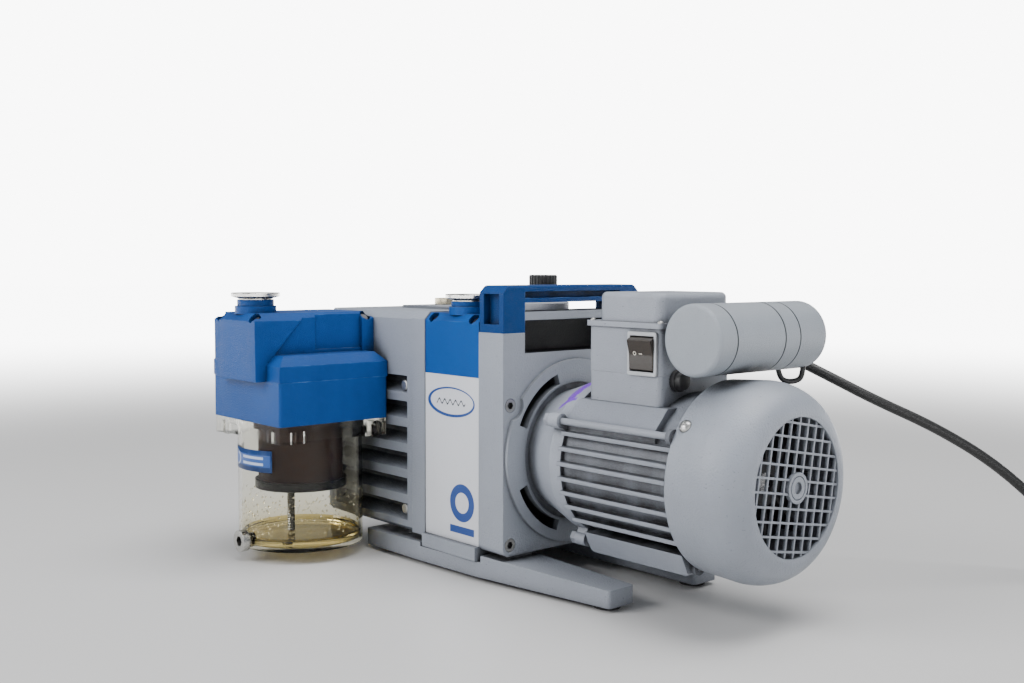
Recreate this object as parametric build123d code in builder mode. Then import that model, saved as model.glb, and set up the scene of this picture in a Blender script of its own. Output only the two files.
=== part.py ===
from build123d import *
import math
import os

os.makedirs("parts", exist_ok=True)

# Two-stage rotary vane vacuum pump with a clear oil-mist filter and a mains cord.
# Millimetres, +Z up, standing on Z = 0, shaft along X with the motor towards +X.
# Section values named ..._x run along the shaft from the bell housing's motor face,
# ..._y run sideways from the shaft, and heights are measured from the floor.

# ---------- driving dimensions ----------

# whole pump
axis_height = 100.0
body_width = 150.0
foot_reach = 80.0
body_bottom = 24.0
body_top = 209.0
edge_bevel = 6.0
seat_gap = 0.02
run_gap = 0.05
free_gap = 0.3

# bell housing
bell_depth = 29.0
bell_wall = 8.0
bell_top = 212.0
shoulder_height = 196.0
shoulder_inset = 22.0
window_low = 180.0
window_high = 205.5
ring_radius = 73.5
ring_inner = 55.0
ring_proud = 3.0
ring_clearance = 11.0
slot_inner = 57.2
slot_outer = 65.5
slot_middle = 47.0
slot_span = 49.0
slot_depth = 20.0
coupling_bore = 35.0
spigot_radius = 40.0
spigot_length = 4.0
corner_screw_y = 67.7
corner_screw_high = 140.6
corner_screw_low = 32.6
socket_screw_head = 5.0
socket_screw_shank = 3.0
socket_screw_depth = 6.0
socket_hex = 2.5

# handle
handle_depth = 28.0
handle_top = 232.3
grip_height = 13.3
handle_corner = 5.5
handle_groove = 6.5

# pump module
module_length = 68.4
panel_thickness = 2.0
panel_low = 27.0
head_low = 160.0
head_width = 39.0
module_wall = 7.0
lip_low = 16.0
lip_proud = 4.0
lip_thickness = 11.0

# vacuum ports, DN 25 small flange
flange_radius = 20.0
flange_rim = 3.0
flange_cone = 1.8
port_bore = 12.0
port_neck = 15.1
port_collar = 17.0
collar_height = 6.5
port_top = 224.5
shank_radius = 14.0
shank_depth = 22.0
inlet_x = -63.3
inlet_edge = 19.4
screen_thickness = 1.0
screen_hole = 1.1
screen_pitch = 3.2

# gas ballast
ballast_x = -60.0
ballast_y = 22.0
ballast_disc_radius = 22.0
ballast_disc_height = 8.0
ballast_stud_radius = 5.0
knob_radius = 12.0
knob_low = 218.0
knob_top = 240.0
knob_stud_depth = 14.0
knob_flutes = 24
flute_radius = 0.9

# oil case
case_length = 147.0
case_frame = 25.4
frame_band = 17.4
frame_proud = 0.8
case_wall = 8.0
case_side = 19.0
case_raise = 2.5
case_raise_inset = 20.0
louvre_count = 6
louvre_top = 155.0
louvre_pitch = 21.7
louvre_height = 14.2
louvre_depth = 13.0
louvre_slope = 7.0
louvre_margin = 14.0
case_screw_radius = 4.6
case_screw_high = 147.0
case_screw_low = 41.7
plug_radius = 11.0
plug_thread = 8.0
plug_hex = 4.0
filler_x = -190.0
filler_y = 20.0
drain_y = 30.0
drain_height = 42.0
sight_radius = 17.0
sight_x = -180.0
sight_height = 92.0
sight_proud = 3.5

# foot rails
rail_left = 177.0
rail_right = 98.4
rail_bottom = 3.5
rail_inner = 36.0
rail_end_outer = 60.0
rail_mid_outer = 77.0
rail_height_left = 17.5
rail_height_mid = 20.0
rail_height_right = 16.5
foot_radius = 10.0
foot_inset = 14.0

# pumping stages
rotor_radius = 30.0
bore_radius = 36.0
rotor_gap = 0.15
hv_length = 44.0
plate_thickness = 12.0
lv_length = 22.0
pump_shaft_radius = 12.0
vane_thickness = 4.0
vane_root = 13.5
vane_slot_gap = 0.1
seal_radius = 20.0
seal_thickness = 6.0
end_gap = 0.1
valve_width = 16.0
valve_thickness = 3.0

# jaw coupling
hub_radius = 26.0
hub_disc = 7.0
hub_offset = 2.0
jaw_length = 8.0
jaw_inner = 13.0
jaw_angle = 44.0
spider_leg = 10.0
spider_ring = 12.0

# motor
shield_length = 47.0
shield_front_radius = 49.0
shield_radius = 60.0
shield_wall = 6.0
bearing_x = 9.0
bearing_length = 11.0
bearing_radius = 17.5
motor_shaft_radius = 7.5
frame_length = 104.0
frame_inner = 54.0
frame_radius = 57.0
fin_reach = 64.0
fin_pitch = 11.0
fin_thickness = 3.0
fin_first = -42.0
fin_count = 7
saddle_half = 40.0
saddle_top = 48.5
saddle_skirt = 53.0
saddle_low = 34.4
saddle_back = 18.0
pad_half = 37.0
pad_low = -66.0
pad_high = -50.0
rear_shield_length = 14.0
rear_lip = 62.0
rod_circle = 67.0
rod_angle = 29.5
rod_low_angle = 64.0
rod_radius = 2.5
rod_nut = 4.6
rod_nut_length = 5.0
lug_radius = 5.5
lug_length = 10.0
core_setback = 11.0
core_back = 24.0
core_bore = 30.4
rotor_core_radius = 30.0
winding_inner = 35.0
winding_outer = 50.0
winding_reach = 14.0

# fan and cowl
cowl_step = 4.0
cowl_length = 57.8
cowl_wall = 2.0
cowl_rim = 68.5
cowl_radius = 70.0
cowl_taper = 28.0
cowl_nose = 50.0
grille_radius = 47.6
grille_recess = 1.0
grille_pitch = 9.5
grille_hole = 8.0
grille_turn = -10.0
grille_hub = 10.6
hub_groove = 8.2
hub_dimple = 4.0
fan_setback = 13.0
fan_length = 19.0
fan_radius = 56.0
fan_hub = 16.0
fan_blades = 8
fan_blade = 2.5
cowl_screw_inset = 6.5
cowl_screw_angle = 36.6
cowl_screw_head = 4.5

# terminal box
box_left = 55.0
box_right = 125.0
box_half = 39.0
box_seam = 170.5
box_rim = 203.5
box_top = 228.5
box_wall = 3.0
rim_proud = 2.0
rim_height = 4.0
hood_left = 63.0
hood_corner = 9.0
lid_screw_inset = 4.0
lid_screw_head = 2.2

# rocker switch
switch_x = 109.0
switch_height = 185.5
switch_width = 27.0
switch_tall = 31.0
bezel_proud = 2.0
bezel_rim = 1.5
rocker_width = 22.0
rocker_radius = 12.4
rocker_tilt = 8.0
rocker_pivot_depth = 2.5
rocker_crown = 4.5
rocker_dip = 3.0
switch_depth = 16.0

# run capacitor
capacitor_x = 159.0
capacitor_height = 197.5
capacitor_radius = 24.8
capacitor_near = -47.0
capacitor_far = 76.0
seam_near = -29.5
seam_far = 24.8
seam_end = 42.5
capacitor_groove = 0.7
clip_half = 16.0
clip_low = 187.0
clip_high = 203.0

# cable gland and mains cord
gland_x = 95.0
gland_height = 186.0
gland_hex = 22.0
gland_hex_length = 9.0
gland_length = 36.0
gland_tip = 5.5
cord_radius = 4.0
coil_turn_radius = 44.0
coil_half_width = 8.0
coil_height = 24.0
plug_length = 38.0
plug_width = 25.0
plug_tall = 20.0
plug_relief = 30.0
plug_relief_tip = 4.6
plug_blade = 16.0
plug_blade_width = 6.3
plug_blade_thickness = 1.5
plug_blade_pitch = 12.7
plug_pin_radius = 2.4

# oil-mist filter
filter_x = -206.0
filter_stand = 53.0
filter_size_x = 112.0
filter_size_y = 104.4
filter_corner = 2.5
filter_low = 117.5
filter_seam = 153.0
filter_shelf = 174.0
filter_bevel = 8.0
channel_width = 69.0
channel_top = 208.0
channel_bevel = 6.0
channel_overhang = 9.8
rib_top_back = 13.5
rib_low_back = 44.7
pocket_back = 4.5
pocket_reach = 41.0
pocket_step = 2.0
pocket_ledge = 3.0
counterbore_radius = 5.0
counterbore_depth = 6.0
exhaust_back = 42.0
bowl_radius = 53.0
bowl_wall = 3.0
bowl_bottom = 9.5
bowl_floor = 4.0
bowl_flange = 14.5
bowl_rim_height = 5.0
bowl_flange_inset = 1.0
bowl_notch = 4.0
bowl_notch_depth = 4.0
bowl_block = 13.0
bowl_side_gap = 40.0
element_radius = 36.0
element_bore = 12.0
element_low = 58.0
element_top = 118.0
element_rim = 7.0
rod_thread = 3.5
return_tube_radius = 3.2
return_tube_x = -6.0
return_tube_y = -6.5
rod_disc = 13.0
rod_foot = 16.5
bowl_plug_radius = 9.0
bowl_plug_length = 7.0
bowl_plug_height = 17.0
filter_screw_radius = 3.5

# ---------- places worked out from them ----------

half_width = body_width / 2
filter_y = -half_width - filter_stand
inlet_y = inlet_edge - half_width
stage_case_radius = half_width - case_side
bell_rear = -bell_depth
module_rear = bell_rear - module_length
case_rear = module_rear - case_length
eccentricity = bore_radius - rotor_radius - rotor_gap
rail_outer = foot_reach
frame_end = shield_length + frame_length
saddle_end = frame_end - saddle_back
core_start = shield_length + core_setback
core_end = frame_end - core_back
cowl_start = frame_end + cowl_step
cowl_shoulder = cowl_start + cowl_taper
cowl_screw_x = cowl_start + cowl_screw_inset
fan_start = cowl_start + fan_setback
motor_reach = cowl_start + cowl_length
rear_end = frame_end + rear_shield_length
rear_bearing_x = frame_end + 2
filter_left = filter_x - filter_size_x / 2
filter_right = filter_x + filter_size_x / 2
filter_near = filter_y - filter_size_y / 2
filter_far = filter_y + filter_size_y / 2
channel_near = filter_near - channel_overhang
exhaust_y = filter_y - exhaust_back
x_face = -(filter_left + motor_reach) / 2
y_axis = -(channel_near + foot_reach) / 2


def cross(x):
    """Section plane across the shaft: local x is +Y, local y is +Z."""
    return Plane(origin=(x_face + x, y_axis, axis_height), x_dir=(0, 1, 0), z_dir=(1, 0, 0))


def side(y):
    """Plane facing -Y at a distance from the shaft: local x is +X, local y is +Z from the floor."""
    return Plane(origin=(x_face, y_axis + y, 0), x_dir=(1, 0, 0), z_dir=(0, -1, 0))


def level(z):
    """Horizontal plane: local x from the bell housing face, local y from the shaft."""
    return Plane(origin=(x_face, y_axis, z), x_dir=(1, 0, 0), z_dir=(0, 0, 1))


def slab(x0, x1, y0, y1, z0, z1, mode=Mode.ADD):
    with Locations((x_face + (x0 + x1) / 2, y_axis + (y0 + y1) / 2, (z0 + z1) / 2)):
        Box(x1 - x0, y1 - y0, z1 - z0, mode=mode)


def disc(plane, spots, outer, length, inner=0.0, mode=Mode.ADD):
    """Round bars or tubes standing on a plane at each spot."""
    with BuildSketch(plane) as rounds:
        with Locations(*spots):
            Circle(outer)
            if inner:
                Circle(inner, mode=Mode.SUBTRACT)
    extrude(rounds.sketch, amount=length, mode=mode)


def turned(x_radius_pairs, mode=Mode.ADD):
    """Solid of revolution about the shaft from points of distance along it and radius."""
    upright = Plane(origin=(x_face, y_axis, axis_height), x_dir=(1, 0, 0), z_dir=(0, -1, 0))
    with BuildSketch(upright) as half:
        Polygon(*x_radius_pairs, align=None)
    revolve(half.sketch, axis=Axis((x_face, y_axis, axis_height), (1, 0, 0)), mode=mode)


def hex_socket(plane, spots, width, depth):
    with BuildSketch(plane) as sockets:
        with Locations(*spots):
            RegularPolygon(width, 6, major_radius=False)
    extrude(sockets.sketch, amount=-depth, mode=Mode.SUBTRACT)


# ---------- bell housing, handle and feet ----------

screw_y = [-corner_screw_y, corner_screw_y]
corner_spots = [(y, z - axis_height) for y in screw_y for z in (corner_screw_low, corner_screw_high)]
shoulder_y = half_width - shoulder_inset

with BuildPart() as bell_housing:
    slab(bell_rear, 0, -half_width, half_width, body_bottom, shoulder_height)
    fillet(bell_housing.edges().filter_by(Axis.X).group_by(Axis.Z)[0], edge_bevel)
    slab(bell_rear, 0, -shoulder_y, shoulder_y, shoulder_height, bell_top)
    disc(cross(0), [(0, 0)], ring_radius, ring_proud, inner=ring_inner)
    disc(cross(0), corner_spots, ring_clearance, ring_proud, mode=Mode.SUBTRACT)
    slab(bell_rear + bell_wall, ring_proud, -shoulder_y, shoulder_y, window_low, window_high, Mode.SUBTRACT)
    disc(cross(0), [(0, 0)], coupling_bore, -(bell_depth - bell_wall), mode=Mode.SUBTRACT)
    disc(cross(0), [(0, 0)], spigot_radius + seat_gap, -spigot_length, mode=Mode.SUBTRACT)
    disc(cross(bell_rear), [(0, 0)], pump_shaft_radius + run_gap, bell_wall, mode=Mode.SUBTRACT)
    seal_seat = cross(bell_rear + bell_wall - seal_thickness)
    disc(seal_seat, [(0, 0)], seal_radius + seat_gap, seal_thickness, mode=Mode.SUBTRACT)
    with BuildSketch(cross(ring_proud)) as arc_slots:
        for middle in (slot_middle, 180 - slot_middle, 180 + slot_middle, 360 - slot_middle):
            first = math.radians(middle - slot_span / 2)
            last = math.radians(middle + slot_span / 2)
            wedge = 2 * slot_outer
            Polygon((0, 0), (wedge * math.cos(first), wedge * math.sin(first)),
                    (wedge * math.cos(last), wedge * math.sin(last)), align=None)
        Circle(slot_outer, mode=Mode.INTERSECT)
        Circle(slot_inner, mode=Mode.SUBTRACT)
    extrude(arc_slots.sketch, amount=-(slot_depth + ring_proud), mode=Mode.SUBTRACT)
    disc(cross(0), corner_spots, socket_screw_head + free_gap, -socket_screw_depth, mode=Mode.SUBTRACT)
    disc(cross(bell_rear), corner_spots, socket_screw_shank + seat_gap, bell_depth, mode=Mode.SUBTRACT)
bell_housing.part.label = "bell_housing"
export_step(bell_housing.part, "parts/bell_housing.step")

with BuildPart() as bell_housing_screws:
    disc(cross(0), corner_spots, socket_screw_head, -socket_screw_depth)
    disc(cross(bell_rear), corner_spots, socket_screw_shank, bell_depth - socket_screw_depth)
    hex_socket(cross(0), corner_spots, socket_hex, socket_screw_depth / 2)
bell_housing_screws.part.label = "bell_housing_screws"
export_step(bell_housing_screws.part, "parts/bell_housing_screws.step")

with BuildPart() as handle:
    with BuildSketch(cross(-handle_depth)):
        with BuildLine():
            low = shoulder_height - axis_height
            top = handle_top - axis_height
            grip_low = top - grip_height
            Polyline(
                (-half_width, low), (-half_width, top - handle_corner),
                (-half_width + handle_corner, top), (half_width - handle_corner, top),
                (half_width, top - handle_corner), (half_width, low),
                (shoulder_y + seat_gap, low), (shoulder_y + seat_gap, grip_low),
                (-shoulder_y - seat_gap, grip_low), (-shoulder_y - seat_gap, low), close=True,
            )
        make_face()
    extrude(amount=handle_depth)
    groove_z = handle_top - grip_height / 2
    slab(-handle_groove, 0, -shoulder_y, shoulder_y, groove_z - 3, groove_z + 2, Mode.SUBTRACT)
    for outer_y in (-half_width, half_width - handle_groove):
        recess_low = shoulder_height + handle_groove
        recess_top = handle_top - handle_groove
        slab(-handle_depth + 5, -5, outer_y, outer_y + handle_groove, recess_low, recess_top, Mode.SUBTRACT)
    for rim_x in (-handle_depth, 0):
        fillet(handle.faces().filter_by(Plane.YZ).sort_by(Axis.X)[0 if rim_x else -1]
               .edges().filter_by(Axis.Y).sort_by(Axis.Z)[-1], 2)
handle.part.label = "handle"
export_step(handle.part, "parts/handle.step")


def foot_rail(hand):
    """Tapered foot casting on one side: hand is -1 for the near side, +1 for the far side."""
    outline = [
        (-rail_left, hand * rail_inner), (-rail_left, hand * rail_outer),
        (module_rear, hand * rail_outer), (bell_rear, hand * rail_mid_outer),
        (rail_right, hand * rail_end_outer), (rail_right, hand * (rail_inner - 2)),
    ]
    with BuildPart() as rail:
        with BuildSketch(level(rail_bottom)):
            Polygon(*outline, align=None)
        extrude(amount=rail_height_mid)
        with BuildSketch(side(foot_reach)):
            Polygon(
                (-rail_left, rail_bottom), (rail_right, rail_bottom), (rail_right, rail_height_right),
                (bell_rear + 4, rail_height_mid + 1), (bell_rear + 4, lip_low - free_gap),
                (module_rear - 1, lip_low - free_gap), (module_rear - 1, rail_height_mid - 1),
                (-rail_left, rail_height_left), align=None,
            )
        extrude(amount=2 * foot_reach, mode=Mode.INTERSECT)
        top_edges = rail.edges().filter_by(Axis.Z)
        fillet(top_edges.sort_by(Axis.X)[-2:], 3)
        fillet(top_edges.sort_by(Axis.X)[:2], 3)
        pad_inner = rail_inner + 4
        pad_outer = half_width - lip_thickness
        slab(module_rear - 40, -5, min(hand * pad_inner, hand * pad_outer),
             max(hand * pad_inner, hand * pad_outer), rail_bottom + 2, body_bottom)
    return rail


near_rail = foot_rail(-1)
far_rail = foot_rail(1)

with BuildPart() as foot_rails:
    add(near_rail.part)
    add(far_rail.part)
foot_rails.part.label = "foot_rails"
export_step(foot_rails.part, "parts/foot_rails.step")

pad_y_rear = (rail_inner + rail_outer) / 2
pad_y_front = (rail_inner + rail_end_outer) / 2
foot_spots = [(-rail_left + foot_inset, -pad_y_rear), (-rail_left + foot_inset, pad_y_rear)]
foot_spots += [(rail_right - foot_inset, -pad_y_front), (rail_right - foot_inset, pad_y_front)]

with BuildPart() as rubber_feet:
    disc(level(0), foot_spots, foot_radius, rail_bottom)
    fillet(rubber_feet.edges().group_by(Axis.Z)[0], 0.8)
rubber_feet.part.label = "rubber_feet"
export_step(rubber_feet.part, "parts/rubber_feet.step")

# ---------- pump module: housing, panel, inlet head, ports, gas ballast ----------

head_y = -half_width + head_width
housing_near = -half_width + panel_thickness

with BuildPart() as pump_housing:
    slab(module_rear, bell_rear, housing_near, half_width, body_bottom, body_top)
    chamfer(pump_housing.edges().filter_by(Axis.X).group_by(Axis.Z)[-1].sort_by(Axis.Y)[-1], edge_bevel)
    slab(module_rear, bell_rear, -half_width - lip_proud, housing_near, lip_low, panel_low - free_gap)
    slab(module_rear, bell_rear, -half_width, -half_width + lip_thickness, lip_low, body_bottom)
    slab(module_rear, bell_rear, half_width - lip_thickness, half_width + lip_proud, lip_low, body_bottom + 3)
    slab(module_rear, bell_rear, -half_width - lip_proud, head_y, head_low, body_top, Mode.SUBTRACT)
    cavity_y = half_width - module_wall - lip_thickness
    slab(module_rear, bell_rear, -cavity_y, cavity_y, body_bottom + module_wall, head_low - module_wall,
         Mode.SUBTRACT)
    slab(module_rear, bell_rear, head_y + module_wall, cavity_y, axis_height, body_top - module_wall,
         Mode.SUBTRACT)
    disc(level(head_low), [(inlet_x, inlet_y)], port_bore, -module_wall, mode=Mode.SUBTRACT)
    with BuildSketch(level(body_top)):
        with Locations((ballast_x, ballast_y)):
            Circle(ballast_stud_radius + seat_gap)
    extrude(amount=-module_wall, mode=Mode.SUBTRACT)
pump_housing.part.label = "pump_housing"
export_step(pump_housing.part, "parts/pump_housing.step")

with BuildPart() as label_panel:
    slab(module_rear + seat_gap, bell_rear - seat_gap, -half_width, housing_near, panel_low, head_low - seat_gap)
    fillet(label_panel.edges().filter_by(Axis.Y), 0.8)
label_panel.part.label = "label_panel"
export_step(label_panel.part, "parts/label_panel.step")


def small_flange(x, y, floor):
    """Metal port: rim and cone of a DN 25 small flange on a shank that sits in a blue block."""
    with BuildPart() as port:
        with BuildSketch(Plane(origin=(x_face + x, y_axis + y, 0), x_dir=(1, 0, 0), z_dir=(0, -1, 0))):
            Polygon(
                (port_bore, floor), (shank_radius, floor), (shank_radius, port_top - flange_rim - flange_cone),
                (flange_radius, port_top - flange_rim), (flange_radius, port_top),
                (port_bore, port_top), align=None,
            )
        revolve(axis=Axis((x_face + x, y_axis + y, 0), (0, 0, 1)))
        fillet(port.edges().group_by(Axis.Z)[-1].sort_by(SortBy.RADIUS)[-1], 0.6)
    return port


def bevel_plane(x, y, z, out_x, out_y):
    """Plane lying on a 45 degree bevel, facing outward and up."""
    return Plane(origin=(x_face + x, y_axis + y, z), z_dir=(out_x, out_y, 1))


def bevel_counterbores(planes):
    for plane in planes:
        disc(plane, [(0, 0)], counterbore_radius, -counterbore_depth, mode=Mode.SUBTRACT)


def port_boss(x, y, floor):
    """Collar and neck of a port on the block being built, with the bore its flange sits in."""
    shank_low = port_top - shank_depth
    disc(level(floor - 1), [(x, y)], port_collar, collar_height)
    disc(level(floor - 1), [(x, y)], port_neck, port_top - flange_rim - flange_cone - floor)
    disc(level(shank_low), [(x, y)], shank_radius + seat_gap, shank_depth, mode=Mode.SUBTRACT)


inlet_floor = port_top - shank_depth
head_top = body_top

with BuildPart() as inlet_head:
    slab(module_rear + seat_gap, bell_rear - seat_gap, -half_width, head_y - seat_gap, head_low, head_top)
    near_top = inlet_head.edges().filter_by(Axis.X).group_by(Axis.Z)[-1].sort_by(Axis.Y)[0]
    chamfer(near_top, edge_bevel)
    port_boss(inlet_x, inlet_y, head_top)
    disc(level(head_low), [(inlet_x, inlet_y)], port_bore, inlet_floor - head_low, mode=Mode.SUBTRACT)
    bevel_mid = edge_bevel / 2
    head_bevels = [bevel_plane(x, -half_width + bevel_mid, head_top - bevel_mid, 0, -1)
                   for x in (module_rear + 8, bell_rear - 9.5)]
    bevel_counterbores(head_bevels)
inlet_head.part.label = "inlet_head"
export_step(inlet_head.part, "parts/inlet_head.step")

inlet_port = small_flange(inlet_x, inlet_y, inlet_floor + screen_thickness)
exhaust_port = small_flange(filter_x, exhaust_y, inlet_floor)

with BuildPart() as port_flanges:
    add(inlet_port.part)
    add(exhaust_port.part)
port_flanges.part.label = "port_flanges"
export_step(port_flanges.part, "parts/port_flanges.step")

with BuildPart() as inlet_screen:
    disc(level(inlet_floor), [(inlet_x, inlet_y)], shank_radius - seat_gap, screen_thickness)
    with BuildSketch(level(inlet_floor)):
        with Locations((inlet_x, inlet_y)):
            with HexLocations(screen_pitch / 2, 5, 5):
                Circle(screen_hole)
    extrude(amount=screen_thickness, mode=Mode.SUBTRACT)
inlet_screen.part.label = "inlet_screen"
export_step(inlet_screen.part, "parts/inlet_screen.step")

with BuildPart() as gas_ballast_cover:
    disc(level(body_top), [(ballast_x, ballast_y)], ballast_disc_radius, ballast_disc_height)
    fillet(gas_ballast_cover.edges().group_by(Axis.Z)[-1], 1)
    disc(level(body_top - module_wall), [(ballast_x, ballast_y)], ballast_stud_radius,
         module_wall + ballast_disc_height + knob_stud_depth)
gas_ballast_cover.part.label = "gas_ballast_cover"
export_step(gas_ballast_cover.part, "parts/gas_ballast_cover.step")

with BuildPart() as gas_ballast_knob:
    disc(level(knob_low), [(ballast_x, ballast_y)], knob_radius, knob_top - knob_low)
    chamfer(gas_ballast_knob.edges().group_by(Axis.Z)[-1], 1)
    with BuildSketch(level(knob_low + 8)):
        with Locations((ballast_x, ballast_y)):
            with PolarLocations(knob_radius, knob_flutes):
                Circle(flute_radius)
    extrude(amount=knob_top - knob_low, mode=Mode.SUBTRACT)
    disc(level(knob_low), [(ballast_x, ballast_y)], ballast_stud_radius + run_gap, knob_stud_depth,
         mode=Mode.SUBTRACT)
gas_ballast_knob.part.label = "gas_ballast_knob"
export_step(gas_ballast_knob.part, "parts/gas_ballast_knob.step")

# ---------- oil case ----------

case_front = module_rear
louvre_left = case_rear + louvre_margin
louvre_right = case_front - case_frame
sight_spot = (sight_x, sight_height)
screw_x = louvre_right - case_screw_radius
case_screw_spots = [(screw_x, case_screw_low), (screw_x, case_screw_high)]
filler_seat = body_top + case_raise
filler_run = case_wall + case_raise

with BuildPart() as oil_case:
    slab(case_rear, case_front, -half_width, half_width, body_bottom, body_top)
    chamfer(oil_case.edges().filter_by(Axis.X).group_by(Axis.Z)[-1], edge_bevel)
    chamfer(oil_case.edges().filter_by(Axis.X).group_by(Axis.Z)[0], edge_bevel / 2)
    fillet(oil_case.faces().sort_by(Axis.X)[0].edges(), 3)
    with BuildPart(mode=Mode.PRIVATE) as end_band:
        proud_y = half_width + frame_proud
        slab(case_front - frame_band, case_front, -proud_y, proud_y, body_bottom, body_top + frame_proud)
        chamfer(end_band.edges().filter_by(Axis.X).group_by(Axis.Z)[-1], edge_bevel)
    add(end_band.part)
    slab(case_rear + 2 * case_raise_inset, case_front, -case_raise_inset, half_width - case_raise_inset,
         body_top, filler_seat)
    cavity = half_width - case_side
    slab(case_rear + case_wall, case_front, -cavity, cavity, body_bottom + case_wall, body_top - case_wall,
         Mode.SUBTRACT)
    with BuildSketch(cross(louvre_left)) as louvres:
        for row in range(louvre_count):
            slot_top = louvre_top - row * louvre_pitch - axis_height
            slot_low = slot_top - louvre_height
            for hand in (-1, 1):
                outer = hand * half_width
                inner = hand * (half_width - louvre_depth)
                Polygon((outer, slot_low), (outer, slot_top), (inner, slot_top),
                        (inner, slot_low + louvre_slope), align=None)
    extrude(louvres.sketch, amount=louvre_right - louvre_left, mode=Mode.SUBTRACT)
    for plane in (side(-half_width + louvre_depth), side(half_width)):
        disc(plane, case_screw_spots, case_screw_radius + run_gap, louvre_depth, mode=Mode.SUBTRACT)
    disc(level(body_top - case_wall), [(filler_x, filler_y)], plug_thread + seat_gap, filler_run,
         mode=Mode.SUBTRACT)
    disc(cross(case_rear), [(drain_y, drain_height - axis_height)], plug_thread + seat_gap, case_wall,
         mode=Mode.SUBTRACT)
    disc(side(half_width), [sight_spot], sight_radius + seat_gap, case_side, mode=Mode.SUBTRACT)
    disc(side(half_width), [sight_spot], sight_radius + 4, case_side, sight_radius + seat_gap)
oil_case.part.label = "oil_case"
export_step(oil_case.part, "parts/oil_case.step")

with BuildPart() as oil_case_screws:
    disc(side(-half_width + louvre_depth), case_screw_spots, case_screw_radius, louvre_depth)
    fillet(oil_case_screws.edges().group_by(Axis.Y)[0], 2)
    disc(side(half_width), case_screw_spots, case_screw_radius, louvre_depth)
oil_case_screws.part.label = "oil_case_screws"
export_step(oil_case_screws.part, "parts/oil_case_screws.step")

with BuildPart() as oil_plugs:
    disc(level(filler_seat), [(filler_x, filler_y)], plug_radius, 6)
    hex_socket(level(filler_seat + 6), [(filler_x, filler_y)], plug_hex, 4)
    disc(level(body_top - case_wall), [(filler_x, filler_y)], plug_thread, filler_run)
    drain_spot = (drain_y, drain_height - axis_height)
    disc(cross(case_rear), [drain_spot], plug_radius, -6)
    hex_socket(cross(case_rear - 2), [drain_spot], plug_hex, 4)
    disc(cross(case_rear), [drain_spot], plug_thread, case_wall)
oil_plugs.part.label = "oil_plugs"
export_step(oil_plugs.part, "parts/oil_plugs.step")

with BuildPart() as sight_glass:
    disc(side(half_width + sight_proud), [sight_spot], sight_radius, case_side + sight_proud)
    chamfer(sight_glass.edges().group_by(Axis.Y)[-1], 1)
sight_glass.part.label = "sight_glass"
export_step(sight_glass.part, "parts/sight_glass.step")

# ---------- pumping stages ----------

hv_front = bell_rear
hv_rear = hv_front - hv_length
lv_front = hv_rear - plate_thickness
lv_rear = lv_front - lv_length
plate_rear = lv_rear - plate_thickness


def stator(front, length):
    """Stage housing: round block with the eccentric bore that the vanes sweep."""
    with BuildPart() as block:
        disc(cross(front), [(0, 0)], stage_case_radius, -length)
        disc(cross(front), [(0, -eccentricity)], bore_radius, -length, mode=Mode.SUBTRACT)
    return block


hv_stator = stator(hv_front, hv_length)
hv_stator.part.label = "hv_stator"
export_step(hv_stator.part, "parts/hv_stator.step")

lv_stator = stator(lv_front, lv_length)
lv_stator.part.label = "lv_stator"
export_step(lv_stator.part, "parts/lv_stator.step")

with BuildPart() as middle_plate:
    disc(cross(hv_rear), [(0, 0)], stage_case_radius, -plate_thickness, pump_shaft_radius + run_gap)
middle_plate.part.label = "middle_plate"
export_step(middle_plate.part, "parts/middle_plate.step")

with BuildPart() as rear_plate:
    disc(cross(lv_rear), [(0, 0)], stage_case_radius, -plate_thickness)
    disc(cross(lv_rear), [(0, 0)], pump_shaft_radius + run_gap, -(plate_thickness - 3), mode=Mode.SUBTRACT)
rear_plate.part.label = "rear_plate"
export_step(rear_plate.part, "parts/rear_plate.step")

with BuildPart() as shaft_seal:
    disc(cross(bell_rear + bell_wall - seal_thickness), [(0, 0)], seal_radius, seal_thickness,
         pump_shaft_radius + run_gap)
shaft_seal.part.label = "shaft_seal"
export_step(shaft_seal.part, "parts/shaft_seal.step")

with BuildPart() as exhaust_valve:
    valve_z = axis_height + stage_case_radius
    slab(lv_rear + 3, lv_front - 3, -valve_width / 2, valve_width / 2, valve_z, valve_z + valve_thickness)
exhaust_valve.part.label = "exhaust_valve"
export_step(exhaust_valve.part, "parts/exhaust_valve.step")

hub_rear = bell_rear + bell_wall + hub_offset
hub_front = hub_rear + hub_disc
jaw_gap = 1.0
motor_hub_rear = hub_front + jaw_gap + jaw_length + jaw_gap
motor_hub_front = motor_hub_rear + hub_disc

with BuildPart() as pump_shaft:
    disc(cross(lv_rear - plate_thickness + 4), [(0, 0)], pump_shaft_radius,
         hub_front - lv_rear + plate_thickness - 4)
pump_shaft.part.label = "pump_shaft"
export_step(pump_shaft.part, "parts/pump_shaft.step")


def rotor(front, length):
    """Slotted rotor that runs close to the top of its eccentric bore."""
    with BuildPart() as drum:
        disc(cross(front - end_gap), [(0, 0)], rotor_radius, -(length - 2 * end_gap), pump_shaft_radius)
        for hand in (-1, 1):
            low, high = sorted((hand * vane_root, hand * (rotor_radius + 1)))
            half = vane_thickness / 2 + vane_slot_gap
            slab(front - length, front, low, high, axis_height - half, axis_height + half, Mode.SUBTRACT)
    return drum


hv_drum = rotor(hv_front, hv_length)
lv_drum = rotor(lv_front, lv_length)

with BuildPart() as rotors:
    add(hv_drum.part)
    add(lv_drum.part)
rotors.part.label = "rotors"
export_step(rotors.part, "parts/rotors.step")

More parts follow.
